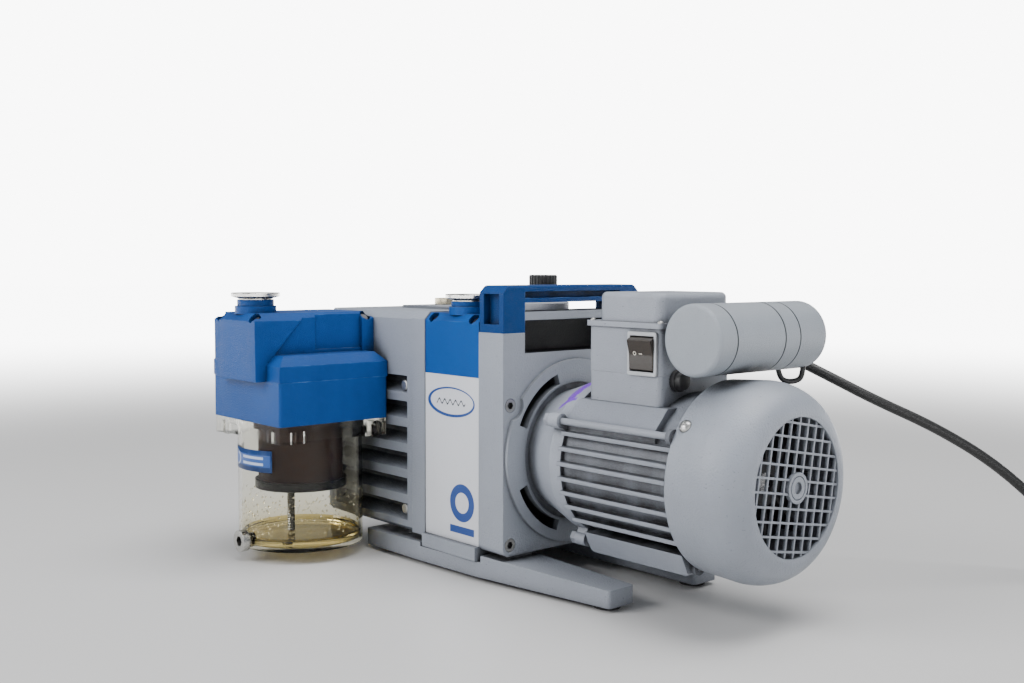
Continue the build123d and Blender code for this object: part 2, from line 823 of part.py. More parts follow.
with BuildPart() as vanes:
    for front, length in ((hv_front, hv_length), (lv_front, lv_length)):
        for hand in (-1, 1):
            low, high = sorted((hand * (vane_root + vane_slot_gap), hand * (rotor_radius - vane_slot_gap)))
            half = vane_thickness / 2
            slab(front - length + end_gap, front - end_gap, low, high, axis_height - half, axis_height + half)
vanes.part.label = "vanes"
export_step(vanes.part, "parts/vanes.step")


def jaw_hub(disc_rear, jaw_rear, bore, first_angle):
    """Coupling half: a disc with three jaws."""
    with BuildPart() as hub:
        disc(cross(disc_rear), [(0, 0)], hub_radius, hub_disc, bore)
        with BuildSketch(cross(jaw_rear)) as jaws:
            for turn in range(3):
                with BuildLine():
                    start = first_angle + 120 * turn - jaw_angle / 2
                    outer = CenterArc((0, 0), hub_radius, start, jaw_angle)
                    inner = CenterArc((0, 0), jaw_inner, start, jaw_angle)
                    Line(outer @ 0, inner @ 0)
                    Line(outer @ 1, inner @ 1)
                make_face()
        extrude(jaws.sketch, amount=jaw_length + jaw_gap)
    return hub


pump_coupling_hub = jaw_hub(hub_rear, hub_front, pump_shaft_radius, 0)
pump_coupling_hub.part.label = "pump_coupling_hub"
export_step(pump_coupling_hub.part, "parts/pump_coupling_hub.step")

motor_coupling_hub = jaw_hub(motor_hub_rear, hub_front + jaw_gap, motor_shaft_radius, 60)
motor_coupling_hub.part.label = "motor_coupling_hub"
export_step(motor_coupling_hub.part, "parts/motor_coupling_hub.step")

with BuildPart() as coupling_spider:
    spider_rear = hub_front + jaw_gap / 2
    disc(cross(spider_rear), [(0, 0)], spider_ring, jaw_length, motor_shaft_radius)
    with BuildSketch(cross(spider_rear)) as legs:
        with PolarLocations((hub_radius + spider_ring) / 2 - 1, 6, start_angle=30):
            Rectangle(hub_radius - spider_ring + 1, spider_leg * jaw_inner * math.pi / 180)
    extrude(legs.sketch, amount=jaw_length)
coupling_spider.part.label = "coupling_spider"
export_step(coupling_spider.part, "parts/coupling_spider.step")

# ---------- motor ----------

rod_angles = [rod_angle, 180 - rod_angle, 180 + rod_low_angle, 360 - rod_low_angle]
rod_spots = []
for angle in rod_angles:
    rod_spots.append((rod_circle * math.cos(math.radians(angle)), rod_circle * math.sin(math.radians(angle))))
bearing_end = bearing_x + bearing_length


def rod_lugs(start, length, root_radius):
    """Ears that carry the tie rods, webbed back to the shield's rim."""
    disc(cross(start), rod_spots, lug_radius, length)
    with BuildSketch(cross(start)) as webs:
        for angle in rod_angles:
            with PolarLocations((rod_circle + root_radius) / 2, 1, start_angle=angle):
                Rectangle(rod_circle - root_radius, 2 * lug_radius - 2)
    extrude(webs.sketch, amount=length)
    disc(cross(start), rod_spots, rod_radius + seat_gap, length, mode=Mode.SUBTRACT)


with BuildPart() as front_shield:
    turned([
        (-spigot_length, coupling_bore), (-spigot_length, spigot_radius), (0, spigot_radius),
        (0, shield_front_radius), (bearing_x, shield_front_radius + 2),
        (shield_length - 12, shield_radius), (shield_length, shield_radius),
        (shield_length, frame_inner), (shield_length - 16, frame_inner),
        (shield_length - 24, frame_inner - shield_wall), (bearing_end + 3, frame_inner - shield_wall),
        (bearing_end + 3, motor_shaft_radius + 4), (bearing_end, motor_shaft_radius + 4),
        (bearing_end, bearing_radius + seat_gap), (bearing_x, bearing_radius + seat_gap),
        (bearing_x, coupling_bore),
    ])
    rod_lugs(shield_length - lug_length, lug_length, frame_inner + 2)
front_shield.part.label = "front_shield"
export_step(front_shield.part, "parts/front_shield.step")

with BuildPart() as motor_frame:
    disc(cross(shield_length), [(0, 0)], frame_radius, frame_length)
    for row in range(fin_count):
        fin_z = fin_first + row * fin_pitch
        fin_half = math.sqrt(fin_reach ** 2 - (abs(fin_z) + fin_thickness / 2) ** 2)
        low = axis_height + fin_z - fin_thickness / 2
        slab(shield_length, frame_end, -fin_half, fin_half, low, low + fin_thickness)
    with BuildSketch(cross(shield_length)) as saddle:
        Polygon((-saddle_half, saddle_top), (saddle_half, saddle_top), (saddle_skirt, saddle_low),
                (saddle_skirt, 0), (-saddle_skirt, 0), (-saddle_skirt, saddle_low), align=None)
    extrude(saddle.sketch, amount=saddle_end - shield_length)
    with BuildSketch(cross(shield_length + 11)) as pad:
        Polygon((-pad_half - 8, pad_high), (pad_half + 8, pad_high), (pad_half, pad_low),
                (-pad_half, pad_low), align=None)
    extrude(pad.sketch, amount=frame_length - 11)
    disc(cross(shield_length), rod_spots, rod_radius + free_gap, frame_length, mode=Mode.SUBTRACT)
    disc(cross(shield_length), [(0, 0)], frame_inner, frame_length, mode=Mode.SUBTRACT)
    chamfer(motor_frame.faces().sort_by(Axis.Z)[0].edges().filter_by(Axis.Y), 2)
motor_frame.part.label = "motor_frame"
export_step(motor_frame.part, "parts/motor_frame.step")

cowl_screw_spots = []
for angle in (cowl_screw_angle, 180 - cowl_screw_angle, 270):
    cowl_screw_spots.append(math.radians(angle))

with BuildPart() as rear_shield:
    turned([
        (frame_end, frame_inner - shield_wall), (frame_end, rear_lip), (rear_end, rear_lip),
        (rear_end, motor_shaft_radius + 4), (rear_bearing_x + bearing_length, motor_shaft_radius + 4),
        (rear_bearing_x + bearing_length, bearing_radius + seat_gap),
        (frame_end, bearing_radius + seat_gap),
    ])
    rear_lug = cowl_start - frame_end - free_gap
    rod_lugs(frame_end, rear_lug, frame_inner + 2)
rear_shield.part.label = "rear_shield"
export_step(rear_shield.part, "parts/rear_shield.step")

with BuildPart() as tie_rods:
    rod_start = shield_length - lug_length - rod_nut_length
    disc(cross(rod_start), rod_spots, rod_radius, frame_end + rear_lug - rod_start)
    with BuildSketch(cross(rod_start)) as nuts:
        with Locations(*rod_spots):
            RegularPolygon(rod_nut, 6, major_radius=False)
    extrude(nuts.sketch, amount=rod_nut_length)
tie_rods.part.label = "tie_rods"
export_step(tie_rods.part, "parts/tie_rods.step")

with BuildPart() as motor_bearings:
    for start in (bearing_x, rear_bearing_x):
        disc(cross(start), [(0, 0)], bearing_radius, bearing_length, motor_shaft_radius + run_gap)
motor_bearings.part.label = "motor_bearings"
export_step(motor_bearings.part, "parts/motor_bearings.step")

with BuildPart() as stator_core:
    disc(cross(core_start), [(0, 0)], frame_inner - seat_gap, core_end - core_start, core_bore)
stator_core.part.label = "stator_core"
export_step(stator_core.part, "parts/stator_core.step")

with BuildPart() as windings:
    disc(cross(core_start), [(0, 0)], winding_outer, -winding_reach, winding_inner)
    disc(cross(core_end), [(0, 0)], winding_outer, winding_reach, winding_inner)
    fillet(windings.edges().filter_by(GeomType.CIRCLE), 3)
windings.part.label = "windings"
export_step(windings.part, "parts/windings.step")

fan_end = fan_start + fan_length

with BuildPart() as motor_shaft:
    disc(cross(motor_hub_rear), [(0, 0)], motor_shaft_radius, fan_end - 2 - motor_hub_rear)
motor_shaft.part.label = "motor_shaft"
export_step(motor_shaft.part, "parts/motor_shaft.step")

with BuildPart() as rotor_core:
    disc(cross(core_start + 2), [(0, 0)], rotor_core_radius, core_end - core_start - 4, motor_shaft_radius)
rotor_core.part.label = "rotor_core"
export_step(rotor_core.part, "parts/rotor_core.step")

with BuildPart() as motor_fan:
    disc(cross(fan_start), [(0, 0)], fan_hub, fan_length, motor_shaft_radius)
    disc(cross(fan_start), [(0, 0)], fan_radius, 2, fan_hub - 1)
    with BuildSketch(cross(fan_start)) as blades:
        with PolarLocations((fan_hub + fan_radius) / 2 - 1, fan_blades):
            Rectangle(fan_radius - fan_hub, fan_blade)
    extrude(blades.sketch, amount=fan_length)
motor_fan.part.label = "motor_fan"
export_step(motor_fan.part, "parts/motor_fan.step")

cowl_inner = cowl_rim - cowl_wall
nose_run = motor_reach - cowl_shoulder
grille_cells = int(2 * grille_radius / grille_pitch) + 3
grille_plane = motor_reach - grille_recess

with BuildPart() as fan_cowl:
    with BuildSketch(Plane(origin=(x_face, y_axis, axis_height), x_dir=(1, 0, 0), z_dir=(0, -1, 0))) as shell:
        with BuildLine():
            Line((cowl_start, cowl_rim), (cowl_shoulder, cowl_radius))
            EllipticalCenterArc((cowl_shoulder, cowl_nose), nose_run, cowl_radius - cowl_nose,
                                start_angle=0, arc_size=90)
            Polyline((motor_reach, cowl_nose), (motor_reach, grille_radius),
                     (grille_plane, grille_radius), (grille_plane, 0),
                     (grille_plane - cowl_wall, 0), (grille_plane - cowl_wall, cowl_nose))
            EllipticalCenterArc((cowl_shoulder, cowl_nose), grille_plane - cowl_wall - cowl_shoulder,
                                cowl_radius - cowl_nose - cowl_wall, start_angle=0, arc_size=90)
            Polyline((cowl_shoulder, cowl_radius - cowl_wall), (cowl_start, cowl_inner), (cowl_start, cowl_rim))
        make_face()
    revolve(shell.sketch, axis=Axis((x_face, y_axis, axis_height), (1, 0, 0)))
    with BuildSketch(cross(grille_plane - cowl_wall)) as cells:
        with Locations(Location((0, 0, 0), (0, 0, grille_turn))):
            with GridLocations(grille_pitch, grille_pitch, grille_cells, grille_cells):
                Rectangle(grille_hole, grille_hole)
        Circle(grille_radius, mode=Mode.INTERSECT)
        Circle(grille_hub, mode=Mode.SUBTRACT)
    extrude(cells.sketch, amount=cowl_wall, mode=Mode.SUBTRACT)
    disc(cross(grille_plane), [(0, 0)], grille_hub, grille_recess)
    disc(cross(motor_reach), [(0, 0)], hub_groove, -grille_recess, hub_groove - 0.6, mode=Mode.SUBTRACT)
    disc(cross(motor_reach), [(0, 0)], hub_dimple, -2 * grille_recess, mode=Mode.SUBTRACT)
fan_cowl.part.label = "fan_cowl"
export_step(fan_cowl.part, "parts/fan_cowl.step")

head_reach = cowl_screw_inset + cowl_screw_head
cowl_seat = cowl_rim + (cowl_radius - cowl_rim) * head_reach / cowl_taper + seat_gap

with BuildPart() as cowl_screws:
    for turn in cowl_screw_spots:
        out = Vector(0, math.cos(turn), math.sin(turn))
        seat = Vector(x_face + cowl_screw_x, y_axis, axis_height) + out * cowl_seat
        with BuildSketch(Plane(origin=seat, z_dir=out)) as head:
            Circle(cowl_screw_head)
        extrude(head.sketch, amount=2.4)
cowl_screws.part.label = "cowl_screws"
export_step(cowl_screws.part, "parts/cowl_screws.step")

# ---------- terminal box, switch, capacitor and cable gland ----------

with BuildPart() as terminal_base:
    slab(box_left, box_right, -box_half, box_half, axis_height + saddle_top, box_seam)
    fillet(terminal_base.edges().filter_by(Axis.Z), 5)
    slab(box_left + box_wall, box_right - box_wall, -box_half + box_wall, box_half - box_wall,
         axis_height + saddle_top + box_wall, box_seam, Mode.SUBTRACT)
    disc(cross(box_left), [(0, 0)], frame_radius + seat_gap, box_right - box_left, mode=Mode.SUBTRACT)
terminal_base.part.label = "terminal_base"
export_step(terminal_base.part, "parts/terminal_base.step")

switch_low = switch_height - switch_tall / 2 + bezel_rim
switch_high = switch_height + switch_tall / 2 - bezel_rim
switch_left = switch_x - switch_width / 2 + bezel_rim
switch_right = switch_x + switch_width / 2 - bezel_rim

with BuildPart() as terminal_frame:
    slab(box_left, box_right, -box_half, box_half, box_seam, box_rim)
    fillet(terminal_frame.edges().filter_by(Axis.Z), 4)
    slab(box_left + box_wall, box_right - box_wall, -box_half + box_wall, box_half - box_wall,
         box_seam, box_rim, Mode.SUBTRACT)
    slab(switch_left, switch_right, -box_half, -box_half + box_wall, switch_low, switch_high, Mode.SUBTRACT)
    disc(side(box_half), [(gland_x, gland_height)], 7, box_wall, mode=Mode.SUBTRACT)
    clip_mid = (clip_low + clip_high) / 2
    with BuildSketch(cross(box_right)) as wire_way:
        with Locations((0, clip_mid - axis_height)):
            Circle(5)
    extrude(wire_way.sketch, amount=-box_wall, mode=Mode.SUBTRACT)
terminal_frame.part.label = "terminal_frame"
export_step(terminal_frame.part, "parts/terminal_frame.step")

with BuildPart() as terminal_lid:
    slab(box_left - rim_proud, box_right + rim_proud, -box_half - rim_proud, box_half + rim_proud,
         box_rim, box_rim + rim_height)
    fillet(terminal_lid.edges().filter_by(Axis.Z), 4)
    slab(hood_left, box_right, -box_half, box_half, box_rim + rim_height, box_top)
    hood_edges = terminal_lid.edges().filter_by(Axis.Z).filter_by_position(
        Axis.Z, box_rim + rim_height, box_top)
    fillet(hood_edges, hood_corner)
    fillet(terminal_lid.edges().group_by(Axis.Z)[-1], 4)
    slab(hood_left + box_wall, box_right - box_wall, -box_half + box_wall, box_half - box_wall,
         box_rim, box_top - box_wall, Mode.SUBTRACT)
terminal_lid.part.label = "terminal_lid"
export_step(terminal_lid.part, "parts/terminal_lid.step")

with BuildPart() as lid_screws:
    lid_spots = []
    for x in (hood_left - lid_screw_inset, box_right - 1):
        for y in (-box_half + 0.5, box_half - 0.5):
            lid_spots.append((x, y))
    disc(level(box_rim + rim_height), lid_spots, lid_screw_head, 2)
lid_screws.part.label = "lid_screws"
export_step(lid_screws.part, "parts/lid_screws.step")

with BuildPart() as switch_frame:
    slab(switch_x - switch_width / 2, switch_x + switch_width / 2, -box_half - bezel_proud, -box_half,
         switch_height - switch_tall / 2, switch_height + switch_tall / 2)
    fillet(switch_frame.edges().filter_by(Axis.Y), 1.5)
    slab(switch_left + seat_gap, switch_right - seat_gap, -box_half, -box_half + switch_depth,
         switch_low + seat_gap, switch_high - seat_gap)
    slab(switch_x - rocker_width / 2 - free_gap, switch_x + rocker_width / 2 + free_gap,
         -box_half - bezel_proud, -box_half + switch_depth - 2,
         switch_height - rocker_radius - free_gap, switch_height + rocker_radius + free_gap, Mode.SUBTRACT)
switch_frame.part.label = "switch_frame"
export_step(switch_frame.part, "parts/switch_frame.step")

rocker_plane = Plane(
    origin=(x_face + switch_x - rocker_width / 2, y_axis - box_half + rocker_pivot_depth, switch_height),
    x_dir=(0, 1, 0), z_dir=(1, 0, 0),
).rotated((rocker_tilt, 0, 0))

with BuildPart() as switch_rocker:
    with BuildSketch(rocker_plane) as rocker_shape:
        Circle(rocker_radius)
        face_y = -rocker_pivot_depth - rocker_crown
        dip_y = -rocker_pivot_depth - rocker_dip
        reach = rocker_radius + 1
        Polygon((face_y, reach), (dip_y, 0), (face_y, -reach), (face_y - reach, -reach),
                (face_y - reach, reach), align=None, mode=Mode.SUBTRACT)
        with Locations((rocker_radius + rocker_dip, 0)):
            Rectangle(2 * rocker_radius, 4 * rocker_radius, mode=Mode.SUBTRACT)
    extrude(rocker_shape.sketch, amount=rocker_width)
switch_rocker.part.label = "switch_rocker"
export_step(switch_rocker.part, "parts/switch_rocker.step")


def barrel(y0, y1, radius):
    with BuildSketch(side(y1)) as round_face:
        with Locations((capacitor_x, capacitor_height)):
            Circle(radius)
    extrude(round_face.sketch, amount=y1 - y0)


with BuildPart() as capacitor_can:
    barrel(seam_near, seam_end, capacitor_radius)
    for seam in (seam_near + capacitor_groove, seam_far, seam_end):
        disc(side(seam), [(capacitor_x, capacitor_height)], capacitor_radius + 1, capacitor_groove,
             capacitor_radius - capacitor_groove, mode=Mode.SUBTRACT)
capacitor_can.part.label = "capacitor_can"
export_step(capacitor_can.part, "parts/capacitor_can.step")

with BuildPart() as capacitor_caps:
    barrel(capacitor_near, seam_near, capacitor_radius)
    barrel(seam_end, capacitor_far, capacitor_radius)
    cap_rings = capacitor_caps.edges().filter_by(GeomType.CIRCLE).sort_by(Axis.Y)
    fillet([cap_rings[0], cap_rings[-1]], 3)
capacitor_caps.part.label = "capacitor_caps"
export_step(capacitor_caps.part, "parts/capacitor_caps.step")

with BuildPart() as capacitor_clip:
    clip_y = (-clip_half, clip_half)
    slab(box_right, capacitor_x, clip_y[0], clip_y[1], clip_low, clip_high)
    barrel_cut = side(clip_y[1])
    disc(barrel_cut, [(capacitor_x, capacitor_height)], capacitor_radius + seat_gap, 2 * clip_half,
         mode=Mode.SUBTRACT)
capacitor_clip.part.label = "capacitor_clip"
export_step(capacitor_clip.part, "parts/capacitor_clip.step")

gland_spot = (gland_x, gland_height)

with BuildPart() as cable_gland:
    hex_plane = Plane(origin=(x_face, y_axis + box_half, 0), x_dir=(-1, 0, 0), z_dir=(0, 1, 0))
    with BuildSketch(hex_plane) as nut:
        with Locations((-gland_x, gland_height)):
            RegularPolygon(gland_hex / 2, 6, major_radius=False)
    extrude(nut.sketch, amount=gland_hex_length)
    sleeve_plane = Plane(origin=(x_face + gland_x, y_axis + box_half + gland_hex_length, gland_height),
                         x_dir=(-1, 0, 0), z_dir=(0, 1, 0))
    with BuildSketch(sleeve_plane) as sleeve_root:
        Circle(gland_hex / 2 - 1.5)
    with BuildSketch(sleeve_plane.offset(gland_length - gland_hex_length)) as sleeve_tip:
        Circle(gland_tip)
    loft([sleeve_root.sketch.face(), sleeve_tip.sketch.face()])
cable_gland.part.label = "cable_gland"
export_step(cable_gland.part, "parts/cable_gland.step")

# ---------- oil-mist filter ----------

with BuildPart() as filter_head:
    slab(filter_left, filter_right, filter_near, filter_far, filter_low, filter_seam - seat_gap)
    fillet(filter_head.edges().filter_by(Axis.Z), filter_corner)
    disc(level(filter_low), [(filter_x, filter_y)], bowl_radius - bowl_wall,
         filter_seam - filter_low - 10, mode=Mode.SUBTRACT)
    disc(level(filter_low), [(filter_x, filter_y)], element_bore, filter_seam - filter_low, mode=Mode.SUBTRACT)
filter_head.part.label = "filter_head"
export_step(filter_head.part, "parts/filter_head.step")

channel_left = filter_x - channel_width / 2
channel_right = filter_x + channel_width / 2
channel_mid = channel_bevel / 2
pocket_start = filter_y - pocket_back
pocket_end = filter_y + pocket_reach
channel_bevels = [bevel_plane(x, channel_near + channel_mid, channel_top - channel_mid, 0, -1)
                  for x in (channel_left + 7, channel_right - 7)]
channel_bevels += [bevel_plane(x, -half_width - 6.5, channel_top - channel_mid, hand, 0)
                   for x, hand in ((channel_left + channel_mid, -1), (channel_right - channel_mid, 1))]

with BuildPart() as filter_channel:
    slab(filter_left, filter_right, filter_near, filter_far, filter_seam, filter_shelf)
    chamfer(filter_channel.edges().group_by(Axis.Z)[-1], filter_bevel)
    slab(channel_left, channel_right, channel_near, -half_width - seat_gap, filter_seam, channel_top)
    long_tops = filter_channel.edges().group_by(Axis.Z)[-1]
    chamfer(long_tops, channel_bevel)
    pocket_plane = Plane(origin=(x_face + channel_right, y_axis, 0), x_dir=(0, 1, 0), z_dir=(1, 0, 0))
    with BuildSketch(pocket_plane) as ribbed:
        Polygon((filter_y - rib_top_back, channel_top), (pocket_end, channel_top),
                (pocket_end, filter_shelf), (filter_y - rib_low_back, filter_shelf), align=None)
    extrude(ribbed.sketch, amount=-pocket_step, mode=Mode.SUBTRACT)
    with BuildSketch(pocket_plane) as pocket:
        Polygon((pocket_start, channel_top), (pocket_end, channel_top),
                (pocket_end, filter_shelf + pocket_ledge), (pocket_start, filter_shelf + pocket_ledge), align=None)
    extrude(pocket.sketch, amount=-2 * pocket_step, mode=Mode.SUBTRACT)
    port_boss(filter_x, exhaust_y, channel_top)
    disc(level(filter_seam), [(filter_x, exhaust_y)], port_bore, port_top - shank_depth - filter_seam,
         mode=Mode.SUBTRACT)
    bevel_counterbores(channel_bevels)
filter_channel.part.label = "filter_channel"
export_step(filter_channel.part, "parts/filter_channel.step")

with BuildPart() as head_screws:
    for plane in channel_bevels + head_bevels:
        disc(plane.offset(-counterbore_depth), [(0, 0)], filter_screw_radius, 3)
head_screws.part.label = "head_screws"
export_step(head_screws.part, "parts/head_screws.step")

plug_face = filter_y - bowl_radius

with BuildPart() as bowl:
    disc(level(bowl_bottom), [(filter_x, filter_y)], bowl_radius, filter_low - bowl_bottom)
    fillet(bowl.edges().group_by(Axis.Z)[0], 4)
    inset = bowl_flange_inset
    flange_low = filter_low - bowl_flange
    with BuildSketch(level(flange_low)) as castle:
        with Locations((filter_x, filter_y)):
            RectangleRounded(filter_size_x - inset, filter_size_y - inset, filter_corner)
            for hand in (-1, 1):
                for end in (-1, 1):
                    along_x = end * (filter_size_x / 2 - bowl_block)
                    along_y = end * (filter_size_y / 2 - bowl_block)
                    with Locations((along_x, hand * filter_size_y / 2)):
                        Rectangle(bowl_notch, 2 * bowl_notch_depth, mode=Mode.SUBTRACT)
                    with Locations((hand * filter_size_x / 2, along_y)):
                        Rectangle(2 * bowl_notch_depth, bowl_notch, mode=Mode.SUBTRACT)
            for along, wide in ((filter_size_x, filter_size_y), (filter_size_y, filter_size_x)):
                turn = 0 if along == filter_size_x else 90
                for hand in (-1, 1):
                    place = (0, hand * wide / 2) if turn == 0 else (hand * wide / 2, 0)
                    with Locations(Location((*place, 0), (0, 0, turn))):
                        Rectangle(along - 2 * bowl_block - bowl_side_gap / 2, 2 * bowl_notch_depth,
                                  mode=Mode.SUBTRACT)
    extrude(castle.sketch, amount=bowl_flange - bowl_rim_height)
    with BuildSketch(level(filter_low - bowl_rim_height)) as rim:
        with Locations((filter_x, filter_y)):
            RectangleRounded(filter_size_x - inset, filter_size_y - inset, filter_corner)
    extrude(rim.sketch, amount=bowl_rim_height - seat_gap)
    disc(level(bowl_bottom + 1), [(filter_x, filter_y)], bowl_radius, filter_low - bowl_bottom - 2)
    disc(level(bowl_bottom + bowl_floor), [(filter_x, filter_y)], bowl_radius - bowl_wall,
         filter_low - bowl_bottom, mode=Mode.SUBTRACT)
    disc(side(plug_face + bowl_wall + 5), [(filter_x, bowl_plug_height)], bowl_plug_radius - 3, bowl_wall + 8,
         mode=Mode.SUBTRACT)
bowl.part.label = "bowl"
export_step(bowl.part, "parts/bowl.step")

with BuildPart() as bowl_drain_plug:
    disc(side(plug_face - 1), [(filter_x, bowl_plug_height)], bowl_plug_radius, bowl_plug_length - 1)
    hex_socket(side(plug_face - bowl_plug_length), [(filter_x, bowl_plug_height)], plug_hex, 4)
    disc(side(plug_face + bowl_wall + 4), [(filter_x, bowl_plug_height)], bowl_plug_radius - 3 - run_gap,
         bowl_wall + 5)
bowl_drain_plug.part.label = "bowl_drain_plug"
export_step(bowl_drain_plug.part, "parts/bowl_drain_plug.step")

with BuildPart() as filter_element:
    disc(level(element_low), [(filter_x, filter_y)], element_radius, element_top - element_low, element_bore)
    disc(level(element_low), [(filter_x, filter_y)], element_radius + 3, element_rim, rod_thread + run_gap)
filter_element.part.label = "filter_element"
export_step(filter_element.part, "parts/filter_element.step")

with BuildPart() as filter_rod:
    tube_spot = (filter_x + return_tube_x, filter_y + return_tube_y)
    disc(level(element_low - 5), [(filter_x, filter_y)], rod_thread, filter_seam - element_low + 4)
    disc(level(element_low - 5), [(filter_x, filter_y)], rod_disc, 5 - seat_gap)
    disc(level(rod_foot), [tube_spot], return_tube_radius, element_low - rod_foot - 2)
filter_rod.part.label = "filter_rod"
export_step(filter_rod.part, "parts/filter_rod.step")

# ---------- mains cord: free tube, stored coil and plug ----------

gland_end = box_half + gland_length
floor_z = cord_radius + 0.5
cord_route = [
    (gland_x, gland_end, gland_height),
    (gland_x, gland_end + 30, gland_height),
    (gland_x + 17, gland_end + 56, gland_height - 10),
    (gland_x + 46, gland_end + 72, gland_height - 26),
    (gland_x + 74, gland_end + 92, gland_height - 43.5),
    (gland_x + 106, gland_end + 128, gland_height - 65),
    (gland_x + 137, gland_end + 166, gland_height - 94),
    (gland_x + 166, gland_end + 199, gland_height - 133),
    (gland_x + 195, gland_end + 229, gland_height - 168),
    (gland_x + 229, gland_end + 252, floor_z),
    (gland_x + 270, gland_end + 262, floor_z),
]
coil_x = gland_x + 272
coil_y = gland_end + 262 - coil_turn_radius
points = [Vector(x_face + x, y_axis + y, z) for x, y, z in cord_route]
radii = []
for before, corner, after in zip(points, points[1:], points[2:]):
    turn = (corner - before).get_angle(after - corner)
    shorter = min((corner - before).length, (after - corner).length)
    radii.append(0.45 * shorter / math.tan(math.radians(turn) / 2))
print("cord radii", [round(radius) for radius in radii])

with BuildPart() as mains_cable:
    with BuildLine() as cord_path:
        FilletPolyline(*points, radius=radii)
    with BuildSketch(Plane(origin=points[0], z_dir=points[1] - points[0])) as cord_section:
        Circle(cord_radius)
    sweep(cord_section.sketch, path=cord_path.wire())
mains_cable.part.label = "mains_cable"
export_step(mains_cable.part, "parts/mains_cable.step")
section_area = math.pi * cord_radius ** 2
cord_length = cord_path.wire().length
print("cord length", round(cord_length, 1), "volume check",
      round(mains_cable.part.volume / section_area / cord_length, 4))

with BuildPart() as cable_coil:
    disc(level(0), [(coil_x, coil_y)], coil_turn_radius + coil_half_width, coil_height,
         coil_turn_radius - coil_half_width)
    fillet(cable_coil.edges().filter_by(GeomType.CIRCLE), 3)
cable_coil.part.label = "cable_coil"
export_step(cable_coil.part, "parts/cable_coil.step")

relief_x = coil_x + coil_turn_radius
plug_z = plug_tall / 2
coil_outer = coil_turn_radius + coil_half_width
coil_exit = math.sqrt(coil_outer ** 2 - coil_turn_radius ** 2) + 2
relief_plane = Plane(origin=(x_face + relief_x, y_axis + coil_y - coil_exit, plug_z), x_dir=(1, 0, 0),
                     z_dir=(0, -1, 0))
body_plane = relief_plane.offset(plug_relief)
blade_plane = body_plane.offset(plug_length)

with BuildPart() as plug:
    with BuildSketch(relief_plane) as relief_tip:
        Circle(plug_relief_tip)
    with BuildSketch(body_plane) as relief_root:
        Circle(plug_tall / 2 - 1.5)
    loft([relief_tip.sketch.face(), relief_root.sketch.face()])
    with BuildSketch(body_plane) as body_section:
        RectangleRounded(plug_width, plug_tall, 6)
    extrude(body_section.sketch, amount=plug_length)
    with BuildSketch(blade_plane) as blades:
        with GridLocations(plug_blade_pitch, 1, 2, 1):
            Rectangle(plug_blade_thickness, plug_blade_width)
    extrude(blades.sketch, amount=plug_blade)
    with BuildSketch(blade_plane) as earth_pin:
        with Locations((0, plug_tall / 2 - plug_pin_radius - 1)):
            Circle(plug_pin_radius)
    extrude(earth_pin.sketch, amount=plug_blade + 3)
plug.part.label = "plug"
export_step(plug.part, "parts/plug.step")
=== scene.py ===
import bmesh
import bpy
import math
from mathutils import Matrix, Vector


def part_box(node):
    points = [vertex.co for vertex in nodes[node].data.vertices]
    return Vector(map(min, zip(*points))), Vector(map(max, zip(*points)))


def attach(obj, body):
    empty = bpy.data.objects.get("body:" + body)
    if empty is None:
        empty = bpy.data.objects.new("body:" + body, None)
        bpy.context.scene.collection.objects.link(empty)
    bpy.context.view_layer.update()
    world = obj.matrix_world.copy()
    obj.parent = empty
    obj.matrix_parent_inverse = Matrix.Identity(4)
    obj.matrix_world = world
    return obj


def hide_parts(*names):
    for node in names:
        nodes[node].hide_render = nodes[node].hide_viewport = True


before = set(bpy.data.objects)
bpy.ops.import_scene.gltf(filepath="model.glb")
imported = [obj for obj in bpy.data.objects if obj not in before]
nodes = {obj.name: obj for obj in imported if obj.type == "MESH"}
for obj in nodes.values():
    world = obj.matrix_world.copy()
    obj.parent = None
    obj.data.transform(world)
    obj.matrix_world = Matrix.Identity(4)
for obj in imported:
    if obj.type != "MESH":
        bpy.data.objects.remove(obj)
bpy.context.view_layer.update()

# ---- Camera -----------------------------------------------------------------------------
# Stands off the pump's motor corner at bench height, where both the louvred side and the
# fan cowl show. The cord's coil lies just outside its view.

camera_place = (0.66967, -0.5828, 0.24566)
view_azimuth = math.radians(48.46)
view_drop = math.radians(3.71)
view_roll = math.radians(0.18)
camera_data = bpy.data.cameras.new("bench_camera")
camera_data.lens = 39.88
camera_data.sensor_width = 36.0
camera_data.clip_start = 0.02
camera_data.clip_end = 100.0
camera = bpy.data.objects.new("bench_camera", camera_data)
bpy.context.scene.collection.objects.link(camera)
forward = Vector((-math.sin(view_azimuth) * math.cos(view_drop),
                  math.cos(view_azimuth) * math.cos(view_drop), -math.sin(view_drop)))
level_right = Vector((math.cos(view_azimuth), math.sin(view_azimuth), 0.0))
level_up = level_right.cross(forward)
right = level_right * math.cos(view_roll) + level_up * math.sin(view_roll)
up = level_up * math.cos(view_roll) - level_right * math.sin(view_roll)
camera.matrix_world = Matrix.Translation(camera_place) @ Matrix((right, up, -forward)).transposed().to_4x4()
bpy.context.scene.camera = camera

# ---- Mains cord -------------------------------------------------------------------------
# Black PVC flexible cord, 8 mm across and 1.9 m long. It leaves the gland behind the
# terminal box, sags to the bench, and the spare length is wound into a neat coil.

